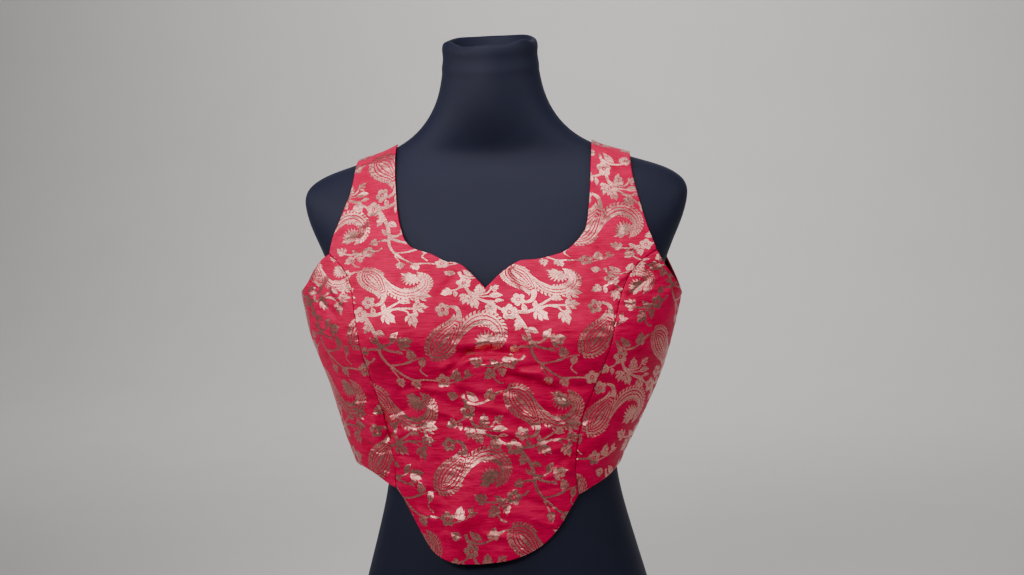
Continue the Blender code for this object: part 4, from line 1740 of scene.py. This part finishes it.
class Cutter:
    """Cuts the pattern pieces, flat, from the tables of edges."""

    STRAP_STEPS = 44
    STRAP_ROUNDS = 6
    END_STEPS = 18
    SEAM_STEPS = 70
    ARM_STEPS = 30
    HEM_STEPS = 60

    def __init__(self, torso: Torso) -> None:
        """Makes a chart for each face."""
        self.torso = torso
        self.front = Chart(torso, Face.FRONT)
        self.back = Chart(torso, Face.BACK)

    def edge(self, chart: Chart, table: Sequence[Edge], shift: float = 0.0) -> Array:
        """A table of edges, laid flat and moved round the body."""
        return chart.flat_edge(chain(table)) + (shift, 0.0)

    def strap(self, chart: Chart, table: Sequence[Edge], side: int = 1) -> Array:
        """A strap's edge from its foot to half a gap before the shoulder line.

        Args:
            chart: the face.
            table: the edge.
            side: -1 mirrors the table.

        Returns:
            Rows of (u, v).
        """
        across = Curve([e.z * MM for e in table], [side * e.x * MM for e in table])
        foot = table[0].z * MM
        rise = 1 - (1 - np.linspace(0, 1, self.STRAP_STEPS)) ** 2
        z = np.full_like(rise, foot)
        for _ in range(self.STRAP_ROUNDS):
            z = foot + (self.torso.ridge(across(z)) - foot) * rise
        flat = chart.flat_edge(np.stack([across(z), z], axis=1))
        flat[:, 1] = np.minimum(flat[:, 1], chart.top - HALF_GAP)
        return flat

    def shoulder(self, first: Array, last: Array) -> Array:
        """The strap's end between its two edges."""
        t = np.linspace(0, 1, self.END_STEPS)[1:-1, None]
        return first[-1] * (1 - t) + last[-1] * t

    def side_seam(self, chart: Chart, side: int) -> Array:
        """The side seam from the hem to the armhole, half a gap short of the widest place.

        Args:
            chart: the face.
            side: 1 for the wearer's left, -1 for the right.

        Returns:
            Rows of (u, v).
        """
        low = (HEM_SIDE_LEFT[-1] if side > 0 else HEM_SIDE_RIGHT[0]).z * MM
        high = (ARMHOLE_LEFT if side > 0 else ARMHOLE_RIGHT)[0].z * MM
        z = np.linspace(low, high, self.SEAM_STEPS)
        return chart.flat(np.full_like(z, side * math.pi / 2), z) - (side * HALF_GAP, 0.0)

    def front_centre(self) -> Cut:
        """The front between the princess seams, with both straps.

        Returns:
            The cut piece.
        """
        chart = self.front
        hem = self.edge(chart, HEM_FRONT)
        left = self.edge(chart, PRINCESS_LEFT, -HALF_GAP)
        right = self.edge(chart, PRINCESS_RIGHT, HALF_GAP)
        out_left = self.strap(chart, STRAP_OUT_LEFT)
        in_left = self.strap(chart, STRAP_IN_LEFT)
        out_right = self.strap(chart, STRAP_OUT_RIGHT)
        in_right = self.strap(chart, STRAP_IN_RIGHT)
        neck_left = self.edge(chart, NECKLINE_LEFT)
        neck_right = self.edge(chart, NECKLINE_RIGHT)
        hem[0], hem[-1] = right[0], left[0]
        out_left[0], out_right[0] = left[-1], right[-1]
        outline = np.concatenate((
            hem, left, out_left, self.shoulder(out_left, in_left), in_left[::-1],
            neck_left[::-1], neck_right[::-1], in_right, self.shoulder(in_right, out_right),
            out_right[::-1], right[::-1],
        ))
        return Cut(tidy_chain(outline), [left, right])

    def front_side(self, side: int) -> Cut:
        """The panel between a princess seam and the side seam.

        Args:
            side: 1 for the wearer's left, -1 for the right.

        Returns:
            The cut piece.
        """
        chart = self.front
        seam_table = PRINCESS_LEFT if side > 0 else PRINCESS_RIGHT
        hem_table = HEM_SIDE_LEFT if side > 0 else HEM_SIDE_RIGHT
        arm_table = ARMHOLE_LEFT if side > 0 else ARMHOLE_RIGHT
        seam = self.edge(chart, seam_table, side * HALF_GAP)
        hem = self.edge(chart, hem_table)
        arm = self.edge(chart, arm_table)
        outer = self.side_seam(chart, side)
        arm[0] = outer[-1]
        arm[-1] = seam[-1]
        if side > 0:
            hem[0], hem[-1] = seam[0], outer[0]
            outline = np.concatenate((hem, outer, arm, seam[::-1]))
        else:
            hem[0], hem[-1] = outer[0], seam[0]
            outline = np.concatenate((hem, seam, arm[::-1], outer[::-1]))
        return Cut(tidy_chain(outline), [seam, outer])

    def back_half(self, side: int) -> Cut:
        """Half the back with its strap.

        Args:
            side: 1 for the wearer's left, -1 for the right.

        Returns:
            The cut piece.
        """
        chart = self.back
        hem_z = (HEM_SIDE_LEFT[-1] if side > 0 else HEM_SIDE_RIGHT[0]).z * MM
        arm_z = (ARMHOLE_LEFT if side > 0 else ARMHOLE_RIGHT)[0].z * MM
        outer = self.side_seam(chart, side)
        z = np.linspace(BACK_HEM, BACK_NECKLINE[-1].z * MM, self.SEAM_STEPS)
        middle = chart.flat_edge(np.stack([np.zeros_like(z), z], axis=1))
        middle[:, 0] += side * HALF_GAP
        foot = BACK_STRAP_OUT[0]
        share = np.linspace(0, 1, self.ARM_STEPS)
        end = chart.turn_at(np.array([side * foot.x * MM]), np.array([foot.z * MM]))[0]
        turn = side * math.pi / 2 * (1 - share) + end * share
        rise = 1 - np.cos(share * math.pi / 2)
        arm = chart.flat(turn, arm_z + (foot.z * MM - arm_z) * rise)
        out = self.strap(chart, BACK_STRAP_OUT, side)
        inside = self.strap(chart, BACK_STRAP_IN, side)
        neck = self.edge(chart, [Edge(side * e.x, e.z) for e in BACK_NECKLINE])
        share = np.linspace(0, 1, self.HEM_STEPS)
        drop = hem_z + (BACK_HEM - hem_z) * smoothstep(0, 1, share)
        hem = chart.flat(side * math.pi / 2 * (1 - share), drop)
        hem[0], hem[-1] = outer[0], middle[0]
        arm[0] = outer[-1]
        neck[-1] = middle[-1]
        outline = np.concatenate((
            outer, arm, out, self.shoulder(out, inside), inside[::-1], neck, middle[::-1],
            hem[::-1],
        ))
        if side < 0:
            outline = outline[::-1]
        return Cut(tidy_chain(outline), [outer, middle])


# Where a large flower falls on each panel's flat cloth, in metres
FLOWER_PLACES = {
    "front_centre": (0.0205, -0.071),
    "front_side_right": (-0.196, -0.060),
    "front_side_left": (0.166, -0.020),
    "back_right": (-0.060, -0.080),
    "back_left": (0.085, -0.080),
}


@dataclass
class Panel:
    """A cut piece of brocade with its lining, laid on the torso as one closed wall."""

    name: str
    chart: Chart
    cut: Cut
    origin: Place
    pitch: float = 2.0 * MM
    inside_pitch: float = 5.0 * MM
    rim_share: float = 0.3
    dip: float = 0.45 * MM
    dip_width: float = 2.6 * MM
    pucker: float = 0.32 * MM
    pucker_width: float = 8.0 * MM
    pucker_length: float = 11.0 * MM
    drift: float = 1.3
    drift_length: float = 31.0 * MM

    def rounding(self, away: Array) -> Array:
        """How deep the turned edge lies at a distance from the outline."""
        radius = WALL / 2
        t = np.clip(radius - away, 0.0, radius)
        return radius - np.sqrt(radius ** 2 - t ** 2)

    def relief(self, uv: Array) -> Array:
        """How far the cloth stands out of its smooth form near seams.

        Args:
            uv: flat places.

        Returns:
            The rise, negative in a dip.
        """
        away, along = distance_to(uv, self.cut.seams)
        drift = self.drift * np.sin(along / self.drift_length)
        wave = np.sin(2 * math.pi * along / self.pucker_length + drift)
        dip = self.dip * np.exp(-((away / self.dip_width) ** 2))
        return self.pucker * wave * np.exp(-((away / self.pucker_width) ** 2)) - dip

    def lay(self, uv: Array, inner: bool) -> Array:
        """Lays flat points on the body.

        Args:
            uv: flat places.
            inner: whether they belong to the lining's face.

        Returns:
            Points in the object's frame.
        """
        turn, z = self.chart.place(uv)
        angle = self.chart.angle(turn)
        points = self.chart.torso.point(angle, z)
        normals = self.chart.torso.normal(angle, z)
        away, _ = distance_to(uv, [np.concatenate((self.cut.outline, self.cut.outline[:1]))])
        depth = self.rounding(away)
        if inner:
            depth = WALL - depth
        rise = self.relief(uv) - depth
        return points + normals * rise[:, None] + CENTRE

    def build(self, brocade: Brocade, finishes: Sequence[bpy.types.Material]) -> bpy.types.Object:
        """Makes the panel.

        Args:
            brocade: the cloth.
            finishes: silk, zari and lining.

        Returns:
            The finished object.
        """
        outline = self.cut.outline
        low, high = outline.min(axis=0), outline.max(axis=0)
        radius = WALL / 2
        rims = [inset(outline, radius * self.rim_share), inset(outline, radius)]
        dots = hex_grid(low, high, self.pitch)
        dots = dots[inside(dots, rims[1])]
        loops = brocade.over(low, high, self.origin)
        loops = [loop for loop in loops if inside(loop.points, outline).any()]
        outer = triangulate(outline, loops, rims, dots)
        ring = border(outer)
        edge = outer.points[ring]
        dots = hex_grid(low, high, self.inside_pitch)
        dots = dots[inside(dots, rims[1])]
        lining = triangulate(edge, [], rims[1:], dots)
        return self.join(outer, lining, ring, finishes)

    def join(self, outer: Net, lining: Net, ring: list[int],
             finishes: Sequence[bpy.types.Material]) -> bpy.types.Object:
        """Closes the outer net and the lining into one wall.

        Args:
            outer: the brocade's net.
            lining: the lining's net.
            ring: the outer net's border.
            finishes: silk, zari and lining.

        Returns:
            The finished object.
        """
        count = len(outer.points)
        rim = np.array(border(lining))
        edge = outer.points[ring]
        gaps = np.linalg.norm(lining.points[rim][:, None] - edge[None], axis=2)
        index = np.full(len(lining.points), -1)
        index[rim] = np.array(ring)[gaps.argmin(axis=1)]
        free = index < 0
        index[free] = count + np.arange(free.sum())
        loose = lining.points[free]
        places = np.concatenate((self.lay(outer.points, False), self.lay(loose, True)))
        uv = np.concatenate((outer.points, loose))
        under = index[lining.triangles][:, ::-1]
        faces = np.concatenate((outer.triangles, under))
        kinds = np.concatenate((outer.zari.astype(int), np.full(len(under), 2)))
        if self.chart.face is Face.BACK:
            faces = faces[:, ::-1]
        mesh = bpy.data.meshes.new(f"{self.name}_brocade")
        mesh.from_pydata(places.tolist(), [], faces.tolist())
        for finish in finishes:
            mesh.materials.append(finish)
        mesh.polygons.foreach_set("material_index", kinds)
        mesh.polygons.foreach_set("use_smooth", np.ones(len(faces), bool))
        layer = mesh.uv_layers.new(name="cloth")
        corners = np.zeros(len(mesh.loops), int)
        mesh.loops.foreach_get("vertex_index", corners)
        layer.uv.foreach_set("vector", uv[corners].ravel())
        mesh.update()
        item = bpy.data.objects.new(mesh.name, mesh)
        bpy.context.collection.objects.link(item)
        LOG.info("%s: %d triangles", item.name, len(faces))
        return item

    def declare(self, item: bpy.types.Object, net_area: float) -> None:
        """Hangs the piece on the root body and hides the CAD part of the same name.

        Args:
            item: the finished object.
            net_area: the area of its flat cloth; not used.
        """
        size = self.cut.outline.max(axis=0) - self.cut.outline.min(axis=0)
        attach(item, "root")
        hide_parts(self.name)


def flat_area(outline: Array) -> float:
    """Area inside a closed outline."""
    after = np.roll(outline, -1, axis=0)
    return float(abs((outline[:, 0] * after[:, 1] - outline[:, 1] * after[:, 0]).sum()) / 2)


@dataclass
class DressForm:
    """The limbless form in its stretch cover."""

    node: str = "dress_form"
    levels: int = 2
    weld: float = 0.01 * MM
    flatness: float = math.radians(60)

    def build(self, finish: bpy.types.Material) -> bpy.types.Object:
        """Makes the cover from the form's own solid.

        Args:
            finish: the jersey.

        Returns:
            The finished object.
        """
        bpy.ops.object.select_all(action="DESELECT")
        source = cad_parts[self.node]
        item = bpy.data.objects.new("dress_form_cover", source.data.copy())
        bpy.context.collection.objects.link(item)
        item.hide_render = False
        item.data.materials.clear()
        item.data.materials.append(finish)
        item.select_set(True)
        bpy.context.view_layer.objects.active = item
        bpy.ops.object.mode_set(mode="EDIT")
        bpy.ops.mesh.select_all(action="SELECT")
        bpy.ops.mesh.remove_doubles(threshold=self.weld)
        bpy.ops.mesh.tris_convert_to_quads(face_threshold=self.flatness,
                                           shape_threshold=self.flatness)
        bpy.ops.object.mode_set(mode="OBJECT")
        smooth = item.modifiers.new("smooth", "SUBSURF")
        smooth.levels = self.levels
        smooth.render_levels = self.levels
        bpy.ops.object.modifier_apply(modifier="smooth")
        bpy.ops.object.shade_smooth()
        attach(item, "root")
        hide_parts(self.node)
        LOG.info("dress_form_cover: %d faces", len(item.data.polygons))
        return item


class Lamp(NamedTuple):
    """A soft lamp: where it hangs, its width and height, its watts and its light's full angle."""

    name: str
    place: Spot
    size: tuple[float, float]
    power: float
    spread: float
    target: Spot


BUST = (0.0, -0.10, 0.51)
BACKDROP = (0.0, 3.2, 0.9)
LAMPS = (
    Lamp("key", (-0.35, -1.05, 0.90), (1.3, 0.22), 2.4, 62.0, BUST),
    Lamp("top", (0.0, -0.22, 1.15), (0.7, 0.15), 1.1, 90.0, BUST),
    Lamp("left", (-1.1, -0.3, 0.80), (0.7, 0.3), 1.2, 90.0, BUST),
    Lamp("right", (0.95, -0.50, 0.85), (0.9, 0.3), 1.2, 90.0, BUST),
    Lamp("backdrop", (0.0, 1.3, 2.4), (1.2, 1.2), 55.0, 180.0, BACKDROP),
)


@dataclass(frozen=True)
class Paper:
    """Matt pale paper of the floor."""

    light: Colour = (0.78, 0.77, 0.76)
    dark: Colour = (0.74, 0.73, 0.72)
    rough: float = 0.9
    grain_scale: float = 6.0

    def build(self) -> bpy.types.Material:
        """Makes the material.

        Returns:
            The material.
        """
        finish = Finish("pale_floor")
        grain = finish.noise(finish.coordinates("Object"), self.grain_scale)
        finish.surface(Base_Color=finish.mix(grain, self.dark, self.light), Roughness=self.rough)
        return finish.material


@dataclass
class Studio:
    """A pale floor that sweeps up behind, soft lights and the camera. Lengths are metres."""

    near: float = -4.0
    bend_start: float = 2.0
    bend: float = 1.2
    bend_steps: int = 12
    top: float = 4.5
    half_width: float = 5.0
    below: float = 0.5 * MM
    lamp_colour: Colour = (1.0, 0.98, 0.97)
    air_colour: tuple[float, float, float, float] = (1.0, 0.97, 0.96, 1.0)
    air_strength: float = 0.03
    azimuth: float = 6.0
    elevation: float = 5.0
    roll: float = 1.8
    distance: float = 1.60
    lens: float = 56.25
    sensor: float = 36.0
    clip: float = 20.0
    target: Spot = (0.00251, -0.004587, 0.4325)
    shift: float = 0.01426

    def floor(self) -> None:
        """Makes the floor and its sweep as one strip."""
        profile = [(self.near, 0.0), (self.bend_start, 0.0)]
        for i in range(1, self.bend_steps + 1):
            angle = math.pi / 2 * i / self.bend_steps
            y = self.bend_start + self.bend * math.sin(angle)
            profile.append((y, self.bend * (1 - math.cos(angle))))
        profile.append((self.bend_start + self.bend, self.top))
        strip = bmesh.new()
        rows = []
        for y, z in profile:
            ends = (-self.half_width, self.half_width)
            rows.append([strip.verts.new((x, y, z - self.below)) for x in ends])
        for low, high in zip(rows, rows[1:]):
            strip.faces.new((low[0], low[1], high[1], high[0])).smooth = True
        mesh = bpy.data.meshes.new("floor")
        strip.to_mesh(mesh)
        strip.free()
        item = bpy.data.objects.new("floor", mesh)
        bpy.context.collection.objects.link(item)
        mesh.materials.append(Paper().build())

    def lamp(self, row: Lamp) -> None:
        """Adds a lamp that looks at its target.

        Args:
            row: the lamp.
        """
        data = bpy.data.lights.new(row.name, "AREA")
        data.shape = "RECTANGLE"
        data.size, data.size_y = row.size
        data.energy = row.power
        data.spread = math.radians(row.spread)
        data.color = self.lamp_colour
        item = bpy.data.objects.new(row.name, data)
        way = Vector(row.target) - Vector(row.place)
        turned = way.to_track_quat("-Z", "Y").to_matrix().to_4x4()
        item.matrix_world = Matrix.Translation(row.place) @ turned
        bpy.context.collection.objects.link(item)

    def air(self) -> None:
        """Fills the room with a faint even light."""
        world = bpy.data.worlds.new("studio")
        world.use_nodes = True
        back = world.node_tree.nodes["Background"]
        back.inputs["Color"].default_value = self.air_colour
        back.inputs["Strength"].default_value = self.air_strength
        bpy.context.scene.world = world

    def camera(self) -> None:
        """Puts the camera where the photograph was taken from."""
        az, el, roll = (math.radians(v) for v in (self.azimuth, self.elevation, self.roll))
        out = Vector((math.sin(az) * math.cos(el), -math.cos(az) * math.cos(el), math.sin(el)))
        right = Vector((math.cos(az), math.sin(az), 0.0))
        up = out.cross(right)
        x = right * math.cos(roll) - up * math.sin(roll)
        y = up * math.cos(roll) + right * math.sin(roll)
        place = Vector(self.target) + out * self.distance
        data = bpy.data.cameras.new("camera")
        data.lens = self.lens
        data.sensor_width = self.sensor
        data.shift_x = self.shift
        data.clip_end = self.clip
        item = bpy.data.objects.new("camera", data)
        turned = Matrix((x, y, out)).transposed().to_4x4()
        item.matrix_world = Matrix.Translation(place) @ turned
        bpy.context.collection.objects.link(item)
        bpy.context.scene.camera = item

    def build(self) -> None:
        """Sets the whole stage."""
        self.floor()
        self.camera()
        for row in LAMPS:
            self.lamp(row)
        self.air()


def main() -> None:
    """Builds every piece in order."""
    logging.basicConfig(level=logging.INFO, format="%(message)s")
    Studio().build()
    DressForm().build(Jersey().build())
    finishes = [Silk().build(), Zari().build(), Lining().build()]
    torso = Torso()
    cutter = Cutter(torso)
    brocade = Brocade()
    cuts = {
        "front_centre": (cutter.front, cutter.front_centre()),
        "front_side_right": (cutter.front, cutter.front_side(-1)),
        "front_side_left": (cutter.front, cutter.front_side(1)),
        "back_right": (cutter.back, cutter.back_half(-1)),
        "back_left": (cutter.back, cutter.back_half(1)),
    }
    for name, (chart, cut) in cuts.items():
        panel = Panel(name, chart, cut, FLOWER_PLACES[name])
        panel.declare(panel.build(brocade, finishes), flat_area(cut.outline))


if __name__ == "__main__":
    main()
